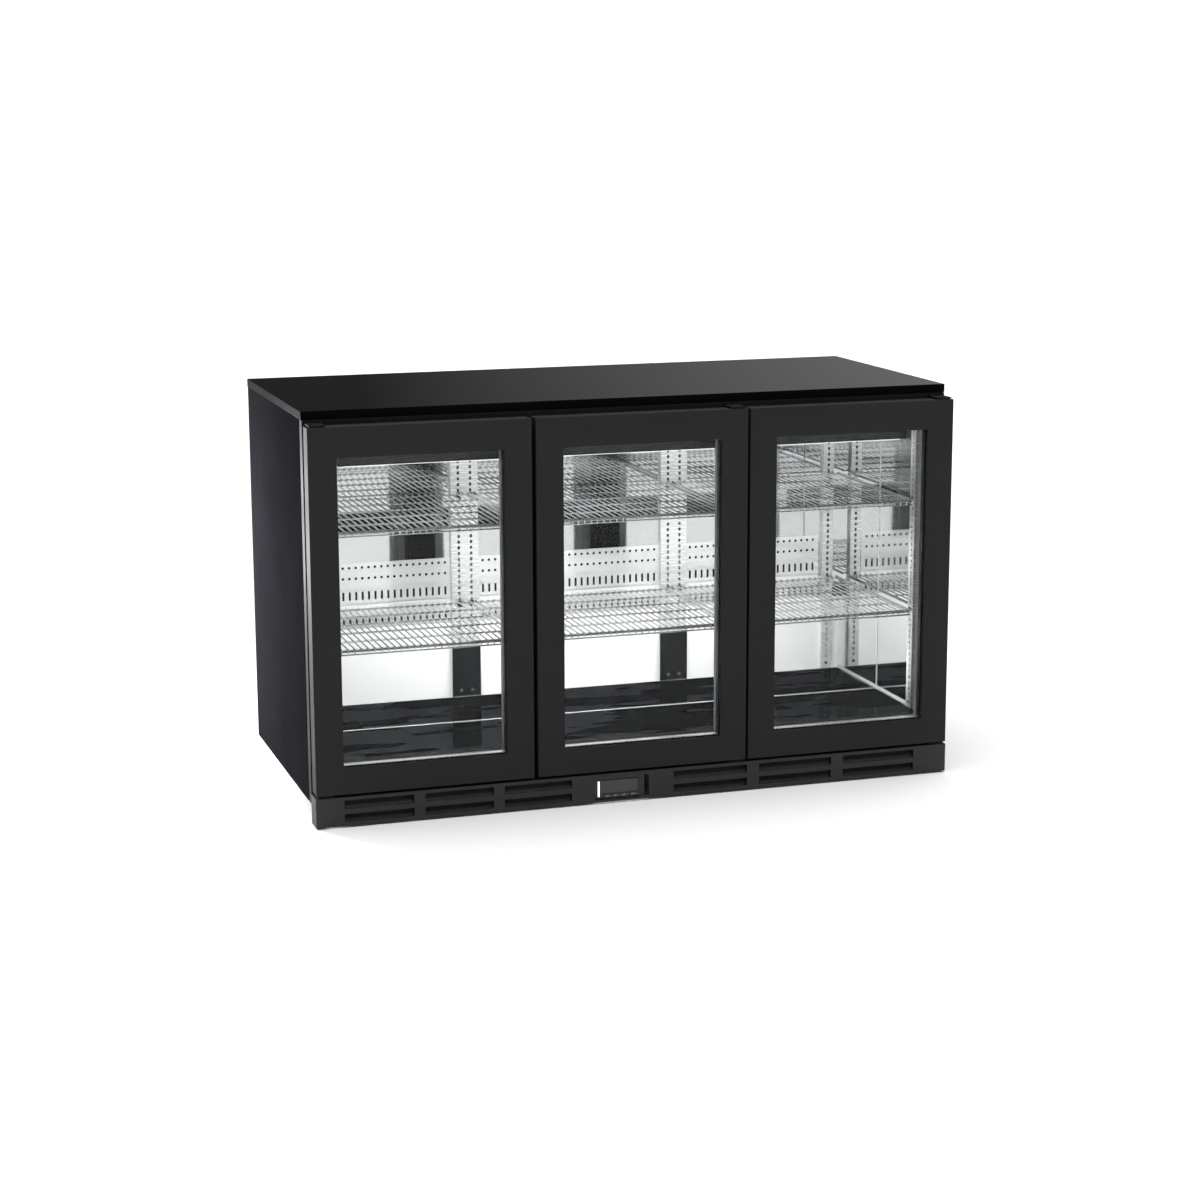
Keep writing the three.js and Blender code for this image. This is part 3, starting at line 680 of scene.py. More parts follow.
def make_plinth():
    """Moulded kick plate: louvre openings with slanted blades, a return at the top and at each end."""
    x, y, z = span("plinth_grille")
    wall = 3 * MM
    panel_x, _, panel_z = span("controller_housing")
    opening = (grown(panel_x, 0.3 * MM), grown(panel_z, 0.3 * MM))
    columns = louvre_columns()
    bm = bmesh.new()
    add_slotted_sheet(bm, x, z, columns, LOUVRE_ROWS, opening, wall, lambda u, v, w: (u, y[0] + v, w))
    bevel(bm, 0.8 * MM, 2)
    returns = (y[0] + wall, y[1])
    add_box(bm, x, returns, (z[1] - 2 * MM, z[1]))
    for low in (x[0], x[1] - wall):
        add_box(bm, (low, low + wall), returns, (z[0], z[1] - 2 * MM))
    finish_piece(bm, "plinth_face", MATERIAL["plinth"], slot="plinth_plastic", replaces=["plinth_grille"])

    bm = bmesh.new()
    reach, thickness, steps = 13 * MM, 2.2 * MM, 6
    shares = [k / steps for k in range(steps + 1)]
    for column in columns:
        for row in LOUVRE_ROWS:
            rise = row[1] - row[0] - 3 * MM
            outline = [
                (y[0] + 1.2 * MM + reach * share, row[0] - 0.8 * MM + rise * share**1.5) for share in shares
            ]
            outline += [(py + thickness * 0.8, pz - thickness * 0.6) for py, pz in reversed(outline)]
            add_prism(bm, outline, lambda py, pz, px: (px, py, pz), grown(column, 1 * MM))
    finish_piece(bm, "plinth_blades", MATERIAL["plinth"], slot="plinth_plastic")

    # Near-black boxes behind the louvres, darker than the plinth plastic: painted shade for the machine space
    # behind them.
    bm = bmesh.new()
    duct_end = y[0] + 17 * MM
    duct_z = (LOUVRE_ROWS[0][0] - 2 * MM, LOUVRE_ROWS[1][1] + 2 * MM)
    for column in columns:
        add_box(bm, grown(column, 2 * MM), (duct_end, duct_end + 1.5 * MM), duct_z)
        for edge in (column[0] - 2 * MM, column[1] + 0.5 * MM):
            add_box(bm, (edge, edge + 1.5 * MM), (y[0] + wall, duct_end), duct_z)
    finish_piece(bm, "plinth_air_boxes", MATERIAL["dark"], slot="plinth_plastic")


def make_controller():
    """Recessed control unit: bezel, smoked display lens, a glowing bar that is a painted highlight, four push
    keys and their symbols.
    """
    x, y, z = span("controller_housing")
    face = y[0]
    plastic = {"slot": "controller_plastic"}
    bm = bmesh.new()
    step_x = x[1] - 7 * MM
    add_box(bm, (x[0], step_x), y, z)
    bevel(bm, 1.0 * MM, 3)
    add_box(bm, (step_x, x[1]), (face + 20 * MM, y[1]), z)
    finish_piece(bm, "controller_body", MATERIAL["housing"], replaces=["controller_housing"], **plastic)

    lens_x = (x[0] + 11 * MM, x[1] - 21 * MM)
    lens_z = (z[0] + 11.5 * MM, z[1] - 7.5 * MM)
    rim = (grown(lens_x, 2 * MM), grown(lens_z, 2 * MM))
    # A thin bar left of the lens glows white: a painted highlight, not a lamp.
    bar_x = (lens_x[0] - 4.4 * MM, lens_x[0] - 1 * MM)
    bar_z = (z[0] + 5.5 * MM, z[1] - 8 * MM)
    back = face + 1 * MM
    ring_piece("display_bezel", rim, (lens_x, lens_z), (face - 1.2 * MM, back), "housing", 0.5 * MM, **plastic)
    box_piece("display_lens", lens_x, (face - 0.6 * MM, back), lens_z, "lens", 0.5 * MM, **plastic)
    box_piece("highlight_bar", bar_x, (face - 1.6 * MM, back), bar_z, "painted_highlight", 0.6 * MM, 3, **plastic)

    symbols = bmesh.new()
    for key in ("set", "up", "down", "light"):
        node = f"key_{key}"
        key_x, key_y, key_z = span(node)
        box_piece(f"push_{key}", key_x, (key_y[0], key_y[0] + 4 * MM), key_z, "key", 0.7 * MM, 3,
                  body=node, slot="key_plastic", replaces=[node])
        add_symbol(symbols, key, sum(key_x) / 2 + 8.5 * MM, sum(key_z) / 2, face)
    finish_piece(symbols, "key_symbols", MATERIAL["key"], slot="key_plastic", smooth=0)


def add_symbol(bm, key, middle, level, face):
    """The small raised mark beside a key: a dot, an arrow or a star."""
    front = (face - 0.3 * MM, face + 0.6 * MM)
    if key == "set":
        add_rod(bm, (middle, front[0], level), (middle, front[1], level), 1.3 * MM, 16)
    elif key == "light":
        for turn in range(3):
            angle = math.pi * turn / 3
            reach = Vector((math.cos(angle), 0, math.sin(angle))) * 1.7 * MM
            start = Vector((middle, face, level))
            add_rod(bm, start - reach, start + reach, 0.35 * MM, 8)
    else:
        way = 1 if key == "up" else -1
        arrow = [(-1.6, -1.1), (1.6, -1.1), (0, 1.5)]
        add_prism(bm, arrow, lambda px, pz, py: (middle + px * MM, py, level + way * pz * MM), front)


def make_feet():
    """Levelling feet: a moulded pad, a threaded stem and a hexagonal lock nut."""
    pad = [(0, 0), (20.5, 0), (21.6, 0.5), (22, 1.6), (22, 5.2), (21, 6.9)]
    pad += [(13, 10), (10.5, 12.2), (10, 14), (0, 14)]
    for place in ("front", "rear"):
        for name, _ in SIDES:
            node = f"foot_{place}_{name}"
            x, y, z = span(node)
            centre = (sum(x) / 2, sum(y) / 2, 0)
            bm = bmesh.new()
            add_lathe(bm, [(r * MM, h * MM) for r, h in pad], centre, segments=48)
            finish_piece(bm, f"foot_pad_{place}_{name}", MATERIAL["rubber"], slot="foot_rubber", replaces=[node])
            bm = bmesh.new()
            stem = [(0, 13)]
            for turn in range(14):
                stem += [(7.2, 14 + turn * 1.8), (8.4, 14.9 + turn * 1.8)]
            stem += [(7.2, z[1] / MM), (0, z[1] / MM)]
            add_lathe(bm, [(r * MM, h * MM) for r, h in stem], centre, segments=32)
            nut = add_rod(bm, (*centre[:2], 27 * MM), (*centre[:2], 34 * MM), 14 * MM, 6)
            bevel(bm, 0.8 * MM, 2, 40, nut)
            finish_piece(bm, f"foot_stem_{place}_{name}", MATERIAL["screw"], slot="zinc_plate")


# ---- Doors ----------------------------------------------------------------------
WINDOW_HELD = 9.7 * MM  # how far the glass goes into the frame


def window_of(door):
    """The visible window of a door, as (low, high) in X and in Z."""
    x, _, z = span(f"door_glass_{door}")
    return grown(x, -WINDOW_HELD), grown(z, -WINDOW_HELD)


def make_door(door):
    """A framed door: front ring, inner core and glazing bead, two panes and the spacer between them."""
    body = f"door_{door}"
    x, y, z = span(f"door_frame_{door}")
    window = window_x, window_z = window_of(door)
    glass_x, glass_y, glass_z = span(f"door_glass_{door}")
    paint = {"body": body, "slot": "door_black_paint"}

    # The frame's front half is one mitred ring; its back half is set back from the window for the bead.
    split = glass_y[0] - 0.3 * MM
    ring_piece(f"door_face_{door}", (x, z), window, (y[0], split), "door", 1.4 * MM, 3,
               replaces=[f"door_frame_{door}"], **paint)
    seat = (grown(window_x, WINDOW_HELD + 0.6 * MM), grown(window_z, WINDOW_HELD + 0.6 * MM))
    core_edge = (grown(x, -0.8 * MM), grown(z, -0.8 * MM))
    core = ring_piece(f"door_core_{door}", core_edge, seat, (split + 0.2 * MM, y[1]), "door", 1.2 * MM, **paint)
    core.data.materials.append(MATERIAL["inner"])
    for face in core.data.polygons:
        face.material_index = 1 if face.normal.y > 0.5 else 0
    bead_end = (grown(window_x, -0.5 * MM), grown(window_z, -0.5 * MM))
    bead_depth = (glass_y[1] + 0.4 * MM, y[1] - 0.6 * MM)
    ring_piece(f"door_bead_{door}", seat, bead_end, bead_depth, "inner", 1.5 * MM, 3, **paint)

    pane = 4 * MM
    for index, low in enumerate((glass_y[0], glass_y[1] - pane)):
        box_piece(f"door_pane_{door}_{index + 1}", glass_x, (low, low + pane), glass_z, "glass",
                  body=body, slot="glass", replaces=[] if index else [f"door_glass_{door}"], smooth=0)
    between = grown(glass_y, -pane - 0.2 * MM)
    low = window_z[0] + 2.2 * MM
    outer = (grown(glass_x, -1 * MM), (window_z[0] - WINDOW_HELD / 2, glass_z[1] - 1 * MM))
    inner = (grown(window_x, -0.6 * MM), (low - 1.5 * MM, window_z[1] - 0.6 * MM))
    metal = {"body": body, "slot": "zinc_plate"}
    ring_piece(f"door_spacer_{door}", outer, inner, between, "spacer_dark", 0.6 * MM, **metal)
    # Only the foot of the spacer is bright aluminium while its sides and top stay dark: partly a real metal
    # spacer, partly a painted highlight along the bottom of the window.
    box_piece(f"door_spacer_bright_{door}", grown(window_x, -0.8 * MM), between,
              (low - 1.3 * MM, low + 0.2 * MM), "spacer", 0.4 * MM, **metal)
    make_gasket(door, body)


def make_gasket(door, body):
    """Magnetic gasket: a flat base and two ribs round the back of the door."""
    node = f"door_gasket_{door}"
    x, y, z = span(node)
    width, depth = 12 * MM, y[1] - y[0]
    ribs = ((0.0, 1.0, 0.0, 0.35), (0.08, 0.45, 0.35, 1.0), (0.55, 0.92, 0.35, 1.0))
    bm = bmesh.new()
    for near, far, low, high in ribs:
        ranges = [grown(pair, -share * width) for share in (near, far) for pair in (x, z)]
        add_ring(bm, *ranges, (y[0] + low * depth, y[0] + high * depth))
    bevel(bm, 0.7 * MM, 3)
    finish_piece(bm, f"door_seal_{door}", MATERIAL["gasket"], body, "gasket_rubber", [node])


def make_hinges():
    """Steel hinge plates: an arm with its pin, and a leaf with two screws."""
    sheet, pin_radius, pin_length = 3 * MM, 4 * MM, 14 * MM
    for door in DOORS:
        pivot = next(j for j in frame["joints"] if j["child"] == f"door_{door}")["pos_m"]
        for level in ("lower", "upper"):
            node = f"hinge_{level}_{door}"
            x, y, z = span(node)
            arm = z[1] - pin_length - sheet if level == "lower" else z[0] + pin_length
            arm_z = (arm, arm + sheet)
            leaf_z, pin_z = ((z[0], arm_z[1]), (arm_z[0], z[1]))
            if level == "upper":
                leaf_z, pin_z = pin_z, (arm_z[1], z[0])
            bm = bmesh.new()
            add_box(bm, x, (y[0], y[1] - sheet), arm_z)
            add_box(bm, x, (y[1] - sheet, y[1]), leaf_z)
            bevel(bm, 0.8 * MM, 2)
            add_rod(bm, (*pivot[:2], pin_z[0]), (*pivot[:2], pin_z[1]), pin_radius, 32)
            for share in (0.3, 0.7):
                across, height = x[0] + (x[1] - x[0]) * share, leaf_z[1] - 4.2 * MM
                if level == "lower":
                    across, height = sum(x) / 2, leaf_z[0] + (leaf_z[1] - leaf_z[0]) * share
                add_screw(bm, (across, y[1] - sheet, height), (0, -1, 0), 2.6 * MM, 1.1 * MM)
            finish_piece(bm, f"hinge_plate_{level}_{door}", MATERIAL["frame"], slot="zinc_plate", replaces=[node])


# ---- Storage space ----------------------------------------------------------------
SEAM_Y = -25 * MM  # where the liner sheets meet, half way back
HOLE_PITCH = 14 * MM
POST_COLUMN = 13.5 * MM  # from the middle of a double post to each row of slots


def make_liner():
    """Five polished sheets, with a bead along the middle seam of four, and angle strips in the lower corners."""
    steel = {"slot": "mirror_steel"}
    bead_height = 1.4 * MM
    seam = grown((SEAM_Y, SEAM_Y), 1.6 * MM)
    for name in ("floor", "ceiling", "left", "right"):
        node = f"liner_{name}"
        x, y, z = span(node)
        bm = bmesh.new()
        for part in ((y[0], SEAM_Y - 0.4 * MM), (SEAM_Y + 0.4 * MM, y[1])):
            add_box(bm, x, part, z)
        material = MATERIAL["floor_mirror" if name == "floor" else "mirror"]
        finish_piece(bm, f"liner_sheet_{name}", material, replaces=[node], smooth=0, **steel)
        bead = {
            "floor": (x, seam, (z[1], z[1] + bead_height)),
            "ceiling": (x, seam, (z[0] - bead_height, z[0])),
            "left": ((x[1], x[1] + bead_height), seam, z),
            "right": ((x[0] - bead_height, x[0]), seam, z),
        }
        box_piece(f"liner_bead_{name}", *bead[name], "strip", 0.5 * MM, 3, **steel)

    x, y, z = span("liner_back")
    cover_x, _, cover_z = span("evaporator_cover")
    gap = 0.3 * MM
    bm = bmesh.new()
    add_box(bm, x, y, (cover_z[1] + gap, z[1]))
    for edge in ((x[0], cover_x[0] - gap), (cover_x[1] + gap, x[1])):
        add_box(bm, edge, y, cover_z)
    finish_piece(bm, "liner_sheet_back", MATERIAL["mirror"], replaces=["liner_back"], smooth=0, **steel)
    box_piece("liner_sheet_back_low", x, y, (z[0], cover_z[0] - gap), "satin", smooth=0, **steel)

    strip = 5 * MM
    corners = grown((span("liner_left")[0][1], span("liner_right")[0][0]), -0.1 * MM)
    _, depth, floor_z = span("liner_floor")
    bm = bmesh.new()
    for low in (corners[0], corners[1] - strip):
        add_box(bm, (low, low + strip), depth, (floor_z[1], floor_z[1] + strip))
    bevel(bm, 1.0 * MM, 3)
    finish_piece(bm, "corner_strips", MATERIAL["strip"], **steel)


def make_air_cover():
    """Perforated sheet: two rows of upright slots and two rows of round holes, with a near-black sheet of painted
    shade behind.
    """
    x, y, z = span("evaporator_cover")
    count = int((x[1] - x[0] - 4 * MM) / HOLE_PITCH)
    start = (x[0] + x[1] - (count - 1) * HOLE_PITCH) / 2
    slot_half, cell_half = 2.4 * MM, 5 * MM
    slot_rows = ((294 * MM, 312 * MM), (349 * MM, 367 * MM))
    hole_rows = (396 * MM, 419.5 * MM)
    centres = [start + i * HOLE_PITCH for i in range(count)]
    x_cuts = [x[0]]
    for centre in centres:
        x_cuts += [centre + reach for reach in (-cell_half, -slot_half, slot_half, cell_half)]
    x_cuts.append(x[1])
    hole_edges = [height + side * cell_half for height in hole_rows for side in (-1, 1)]
    z_cuts = sorted({*z, *[edge for row in slot_rows for edge in row], *hole_edges})
    slot_levels = {z_cuts.index(row[0]) for row in slot_rows}
    hole_levels = {z_cuts.index(height - cell_half) for height in hole_rows}

    def is_hole(i, j):
        place = (i - 1) % 4
        return i > 0 and ((j in slot_levels and place == 1) or (j in hole_levels and place < 3))

    bm = bmesh.new()
    add_sheet(bm, x_cuts, z_cuts, is_hole, y[1] - y[0], lambda u, v, w: (u, y[0] + v, w))
    for height in hole_rows:
        for centre in centres:
            add_round_hole(bm, centre, height, y, cell_half)
    bmesh.ops.remove_doubles(bm, verts=bm.verts, dist=0.01 * MM)
    doomed = inner_walls(bm, centres, hole_rows, cell_half)
    bmesh.ops.delete(bm, geom=doomed, context="FACES_ONLY")
    finish_piece(bm, "air_cover", MATERIAL["cover"], slot="mirror_steel", replaces=["evaporator_cover"], smooth=0)
    # duct_shade is a near-black sheet just behind the cover: painted shade for the dark duct seen through the
    # holes.
    box_piece("duct_shade", grown(x, -1 * MM), (y[1] + 0.05 * MM, y[1] + 0.3 * MM), grown(z, -2 * MM), "dark",
              slot="black_plastic")


def add_round_hole(bm, centre, height, y, cell_half):
    """Closes a square opening of the air cover down to a round hole."""
    radius, segments = 3 * MM, 12
    quarter = segments // 4
    turns = [2 * math.pi * (k + 0.5) / segments for k in range(segments)]
    rims = []
    for depth in y:
        rim = [bm.verts.new((centre + radius * math.cos(a), depth, height + radius * math.sin(a))) for a in turns]
        square = ((1, 1), (-1, 1), (-1, -1), (1, -1))
        edge = [bm.verts.new((centre + u * cell_half, depth, height + w * cell_half)) for u, w in square]
        for side, corner in enumerate(edge):
            part = rim[side * quarter : (side + 1) * quarter]
            for a, b in zip(part, part[1:]):
                bm.faces.new((a, b, corner))
            following = rim[(side + 1) * quarter % segments]
            bm.faces.new((part[-1], following, edge[(side + 1) % 4], corner))
        rims.append(rim)
    front, back = rims
    for k in range(segments):
        n = (k + 1) % segments
        bm.faces.new((front[k], front[n], back[n], back[k]))


def inner_walls(bm, centres, hole_rows, cell_half):
    """The faces that lined the square openings, now inside the sheet."""
    found = []
    close = 1e-5
    for face in bm.faces:
        depths = {round(v.co.y, 6) for v in face.verts}
        if len(depths) < 2 or len(face.verts) != 4:
            continue
        middle = face.calc_center_median()
        offset = min(abs(centre - middle.x) for centre in centres)
        for height in hole_rows:
            on_level = abs(abs(middle.z - height) - cell_half) < close
            on_side = abs(middle.z - height) < cell_half - close
            if (on_level and offset < cell_half - close) or (on_side and abs(offset - cell_half) < close):
                found.append(face)
                break
    return found


def make_post(node, facing, columns):
    """A pilaster: a folded channel with rows of oblong slots, and screws at its foot."""
    z = span(node)[2]
    low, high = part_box(node)
    centre = (low + high) / 2
    across, inward = {
        "front": (Vector((1, 0, 0)), Vector((0, 1, 0))),
        "back": (Vector((-1, 0, 0)), Vector((0, -1, 0))),
        "left": (Vector((0, -1, 0)), Vector((1, 0, 0))),
        "right": (Vector((0, 1, 0)), Vector((-1, 0, 0))),
    }[facing]
    half_width = abs((high - low).dot(across)) / 2
    depth = abs((high - low).dot(inward))
    origin = centre - inward * depth / 2

    def place(u, v, w):
        point = origin + across * u + inward * v
        return (point.x, point.y, w)

    sheet = 1.3 * MM
    slot_half, slot_height, slot_pitch = 2.5 * MM, 6.5 * MM, 12.5 * MM
    x_cuts = sorted({-half_width, half_width, *[c + s * slot_half for c in columns for s in (-1, 1)]})
    count = int((z[1] - z[0] - 40 * MM) / slot_pitch)
    slots = [z[0] + 25 * MM + i * slot_pitch for i in range(count)]
    z_cuts = [z[0], *[edge for slot in slots for edge in (slot, slot + slot_height)], z[1]]
    bm = bmesh.new()
    add_sheet(bm, x_cuts, z_cuts, lambda i, j: i % 2 == 1 and j % 2 == 1, sheet, place)
    flange = ((0, sheet), (sheet, sheet), (sheet, depth), (0, depth))
    for u in (-half_width, half_width - sheet):
        add_prism(bm, flange, lambda du, v, w: place(u + du, v, w), z)
    # Posts facing back, on the mullions, get the black frame paint instead of satin steel: painted shade, as
    # these faces stand in the shade of the doors.
    steel = MATERIAL["frame" if facing == "back" else "strip"]
    finish_piece(bm, node.replace("pilaster", "post"), steel, slot="mirror_steel", replaces=[node], smooth=0)
    bm = bmesh.new()
    for u in columns:
        add_screw(bm, place(u, 0, z[0] + 12 * MM), -inward, 3.4 * MM, 1.6 * MM)
    finish_piece(bm, node.replace("pilaster", "post_screws"), MATERIAL["machine"], slot="machine_black")


def make_posts():
    """Single rows at the ends and the sides, double rows at the back middle and the mullions."""
    for name, side in SIDES:
        make_post(f"pilaster_back_{name}", "front", (0,))
        make_post(f"pilaster_back_middle_{name}", "front", (-POST_COLUMN, POST_COLUMN))
        make_post(f"pilaster_mullion_{name}", "back", (-POST_COLUMN, POST_COLUMN))
        make_post(f"pilaster_side_{name}", "right" if side < 0 else "left", (0,))


def make_wire_shelves():
    """Chromed wire shelves: front-to-back wires turned down at the front, cross bars and a double lip."""
    radius, bar_radius = 1.6 * MM, 2.0 * MM
    pitch, bend, bars = 13.5 * MM, 3 * MM, 6
    for level in ("lower", "upper"):
        for bay in DOORS:
            node = f"shelf_{level}_{bay}"
            x, y, z = span(node)
            top = z[1] - radius
            lip = z[0] + radius + 0.3 * MM
            under = top - radius - bar_radius + 0.4 * MM
            front = y[0] + radius
            bm = bmesh.new()
            wires = grown(x, -bar_radius)
            count = round((wires[1] - wires[0]) / pitch)
            for i in range(count + 1):
                across = wires[0] + i * (wires[1] - wires[0]) / count
                points = [(across, y[1], top), (across, front + bend, top)]
                points += [
                    (across, front + bend * (1 - math.sin(a)), top - bend * (1 - math.cos(a)))
                    for a in (math.pi / 6, math.pi / 3, math.pi / 2)
                ]
                points.append((across, front, lip))
                add_path(bm, points, radius, 8)
            for k in range(bars):
                depth = y[0] + 14 * MM + (y[1] - y[0] - 22 * MM) * k / (bars - 1)
                add_rod(bm, (x[0], depth, under), (x[1], depth, under), bar_radius, 10)
            for height in (lip, lip + 6 * MM):
                depth = y[0] + 2.6 * radius
                add_rod(bm, (x[0], depth, height), (x[1], depth, height), radius, 8)
            for edge in wires:
                add_rod(bm, (edge, y[0] + 8 * MM, under), (edge, y[1], under), bar_radius, 10)
            finish_piece(bm, f"wire_{level}_{bay}", MATERIAL["wire"], slot="chrome_wire", replaces=[node])


def make_clips():
    """Shelf clips hooked into the pilasters under each shelf's corners."""
    back_face = span("pilaster_back_left")[1][0]
    mullion_face = span("pilaster_mullion_left")[1][1]
    half_width = 5 * MM
    tongue, hook = ((0, 11 * MM), (-9 * MM, -7.4 * MM)), ((0, 1.4 * MM), (-9 * MM, 3 * MM))
    bm = bmesh.new()

    def clip(node, offset, face, inward, level):
        across = sum(span(node)[0]) / 2 + offset
        for depth, height in (tongue, hook):
            ys = sorted(face + inward * end for end in depth)
            add_box(bm, grown((across, across), half_width), ys, [level + end for end in height])

    for level_name in ("lower", "upper"):
        level = span(f"shelf_{level_name}_left")[2][1] - 5.5 * MM
        for side, _ in SIDES:
            for offset in (-POST_COLUMN, POST_COLUMN):
                clip(f"pilaster_back_middle_{side}", offset, back_face, -1, level)
                clip(f"pilaster_mullion_{side}", offset, mullion_face, 1, level)
            clip(f"pilaster_back_{side}", 0, back_face, -1, level)
    bevel(bm, 0.4 * MM, 2)
    finish_piece(bm, "shelf_clips", MATERIAL["machine"], slot="machine_black")


def make_base_covers():
    """Dark wiring covers, pressed with two grooves, over the foot of the two middle posts."""
    shares = (0.0, 0.16, 0.2, 0.44, 0.56, 0.8, 0.84, 1.0)
    in_groove = (1, 2, 5, 6)
    for name, _ in SIDES:
        x, y, z = span(f"pilaster_back_middle_{name}")
        front, back = y[0] - 2.5 * MM, y[0] - 0.3 * MM
        low, high = grown(x, 1.5 * MM)
        outline = [
            (low + (high - low) * share, front + (1.4 * MM if k in in_groove else 0))
            for k, share in enumerate(shares)
        ]
        outline += [(high, back), (low, back)]
        bm = bmesh.new()
        add_prism(bm, outline, lambda px, py, pz: (px, py, pz), (z[0] + 0.5 * MM, z[0] + 108 * MM))
        finish_piece(bm, f"post_cover_{name}", MATERIAL["frame"], slot="machine_black", smooth=20)
        bm = bmesh.new()
        for share in (0.3, 0.7):
            spot = (low + (high - low) * share, front, z[0] + 14 * MM)
            add_screw(bm, spot, (0, -1, 0), 4 * MM, 2 * MM)
        finish_piece(bm, f"post_cover_screws_{name}", MATERIAL["screw"], slot="machine_black")


def make_light():
    """One LED lamp for each bay: a strip under a housing, behind the header and between the mullions."""
    behind = span("front_frame")[1][1] + 1.5 * MM
    ceiling = span("liner_ceiling")[2][0]
    edge, gap = 600 * MM, 5 * MM
    left, right = span("pilaster_mullion_left")[0], span("pilaster_mullion_right")[0]
    bays = ((-edge, left[0] - gap), (left[1] + gap, right[0] - gap), (right[1] + gap, edge))
    depth = (behind, behind + 11 * MM)
    foot = ceiling - 60 * MM
    housings, strips = bmesh.new(), bmesh.new()
    for bay in bays:
        add_box(housings, bay, depth, (foot, ceiling - 1 * MM))
        add_box(strips, grown(bay, -12 * MM), grown(depth, -2.5 * MM), (foot - 1.2 * MM, foot + 0.2 * MM))
    bevel(housings, 1.2 * MM, 3)
    finish_piece(housings, "light_housing", MATERIAL["black"], slot="black_plastic")
    bevel(strips, 0.4 * MM, 2)
    finish_piece(strips, "light_strip", MATERIAL["led"], slot="key_plastic")


# ---- Cooling --------------------------------------------------------------------
def make_fan(node, axis):
    """Fan: a domed hub and twisted blades."""
    low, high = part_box(node)
    centre = (low + high) / 2
    radius = (high.z - low.z) / 2
    depth = (high - low)["XYZ".index(axis)]
    bm = bmesh.new()
    hub = [(0, -0.5), (0.26, -0.5), (0.3, -0.4), (0.3, 0.25), (0.22, 0.42), (0, 0.5)]
    add_lathe(bm, [(r * radius, h * depth) for r, h in hub], centre, axis, 32)
    blades, rows = 5, 7
    along = Vector((0, 1, 0)) if axis == "Y" else Vector((1, 0, 0))
    right = Vector((1, 0, 0)) if axis == "Y" else Vector((0, 1, 0))
    up = Vector((0, 0, 1))
    for blade in range(blades):
        turn = 2 * math.pi * blade / blades
        faces = []
        for row in range(rows + 1):
            share = row / rows
            reach = radius * (0.27 + 0.71 * share)
            half_angle = 0.2 + 0.24 * share
            pitch = 0.36 * depth * (1 - 0.35 * share)
            ring = []
            for edge in (-1, 0, 1):
                angle = turn + edge * half_angle + 0.2 * share
                spot = centre + reach * (math.cos(angle) * right + math.sin(angle) * up)
                ring.append(spot + along * pitch * edge)
            faces.append(ring)
        levels = []
        for offset in (-0.6 * MM, 0.6 * MM):
            levels.append([[bm.verts.new(spot + along * offset) for spot in ring] for ring in faces])
        for row in range(rows):
            for k in range(2):
                for level in levels:
                    bm.faces.new((level[row][k], level[row][k + 1], level[row + 1][k + 1], level[row + 1][k]))
            for k in (0, 2):
                bm.faces.new((levels[0][row][k], levels[0][row + 1][k], levels[1][row + 1][k], levels[1][row][k]))
        for row in (0, rows):
            for k in range(2):
                bm.faces.new((levels[0][row][k], levels[0][row][k + 1], levels[1][row][k + 1], levels[1][row][k]))
    finish_piece(bm, f"{node}_rotor", MATERIAL["black"], node, "black_plastic", [node])


def make_finned_block(node):
    """Finned tube block: thin fins on a row of copper tubes, between two end plates."""
    x, y, z = span(node)
    bm = bmesh.new()
    pitch, rows = 4 * MM, 4
    fins = grown(x, -10 * MM)
    count = int((fins[1] - fins[0]) / pitch)
    for i in range(count + 1):
        across = fins[0] + i * (fins[1] - fins[0]) / count
        add_box(bm, grown((across, across), 0.25 * MM), y, z)
    for low in (fins[0] - 3 * MM, fins[1] + 1.5 * MM):
        add_box(bm, (low, low + 1.5 * MM), y, z)
    finish_piece(bm, f"{node}_fins", MATERIAL["fin"], slot="fin_aluminium", replaces=[node], smooth=0)
    bm = bmesh.new()
    middle = sum(y) / 2
    for k in range(rows):
        height = z[0] + (z[1] - z[0]) * (k + 0.5) / rows
        add_rod(bm, (x[0] + 4 * MM, middle, height), (x[1] - 4 * MM, middle, height), 4 * MM, 14)
    finish_piece(bm, f"{node}_tubes", MATERIAL["copper"], slot="fin_aluminium")


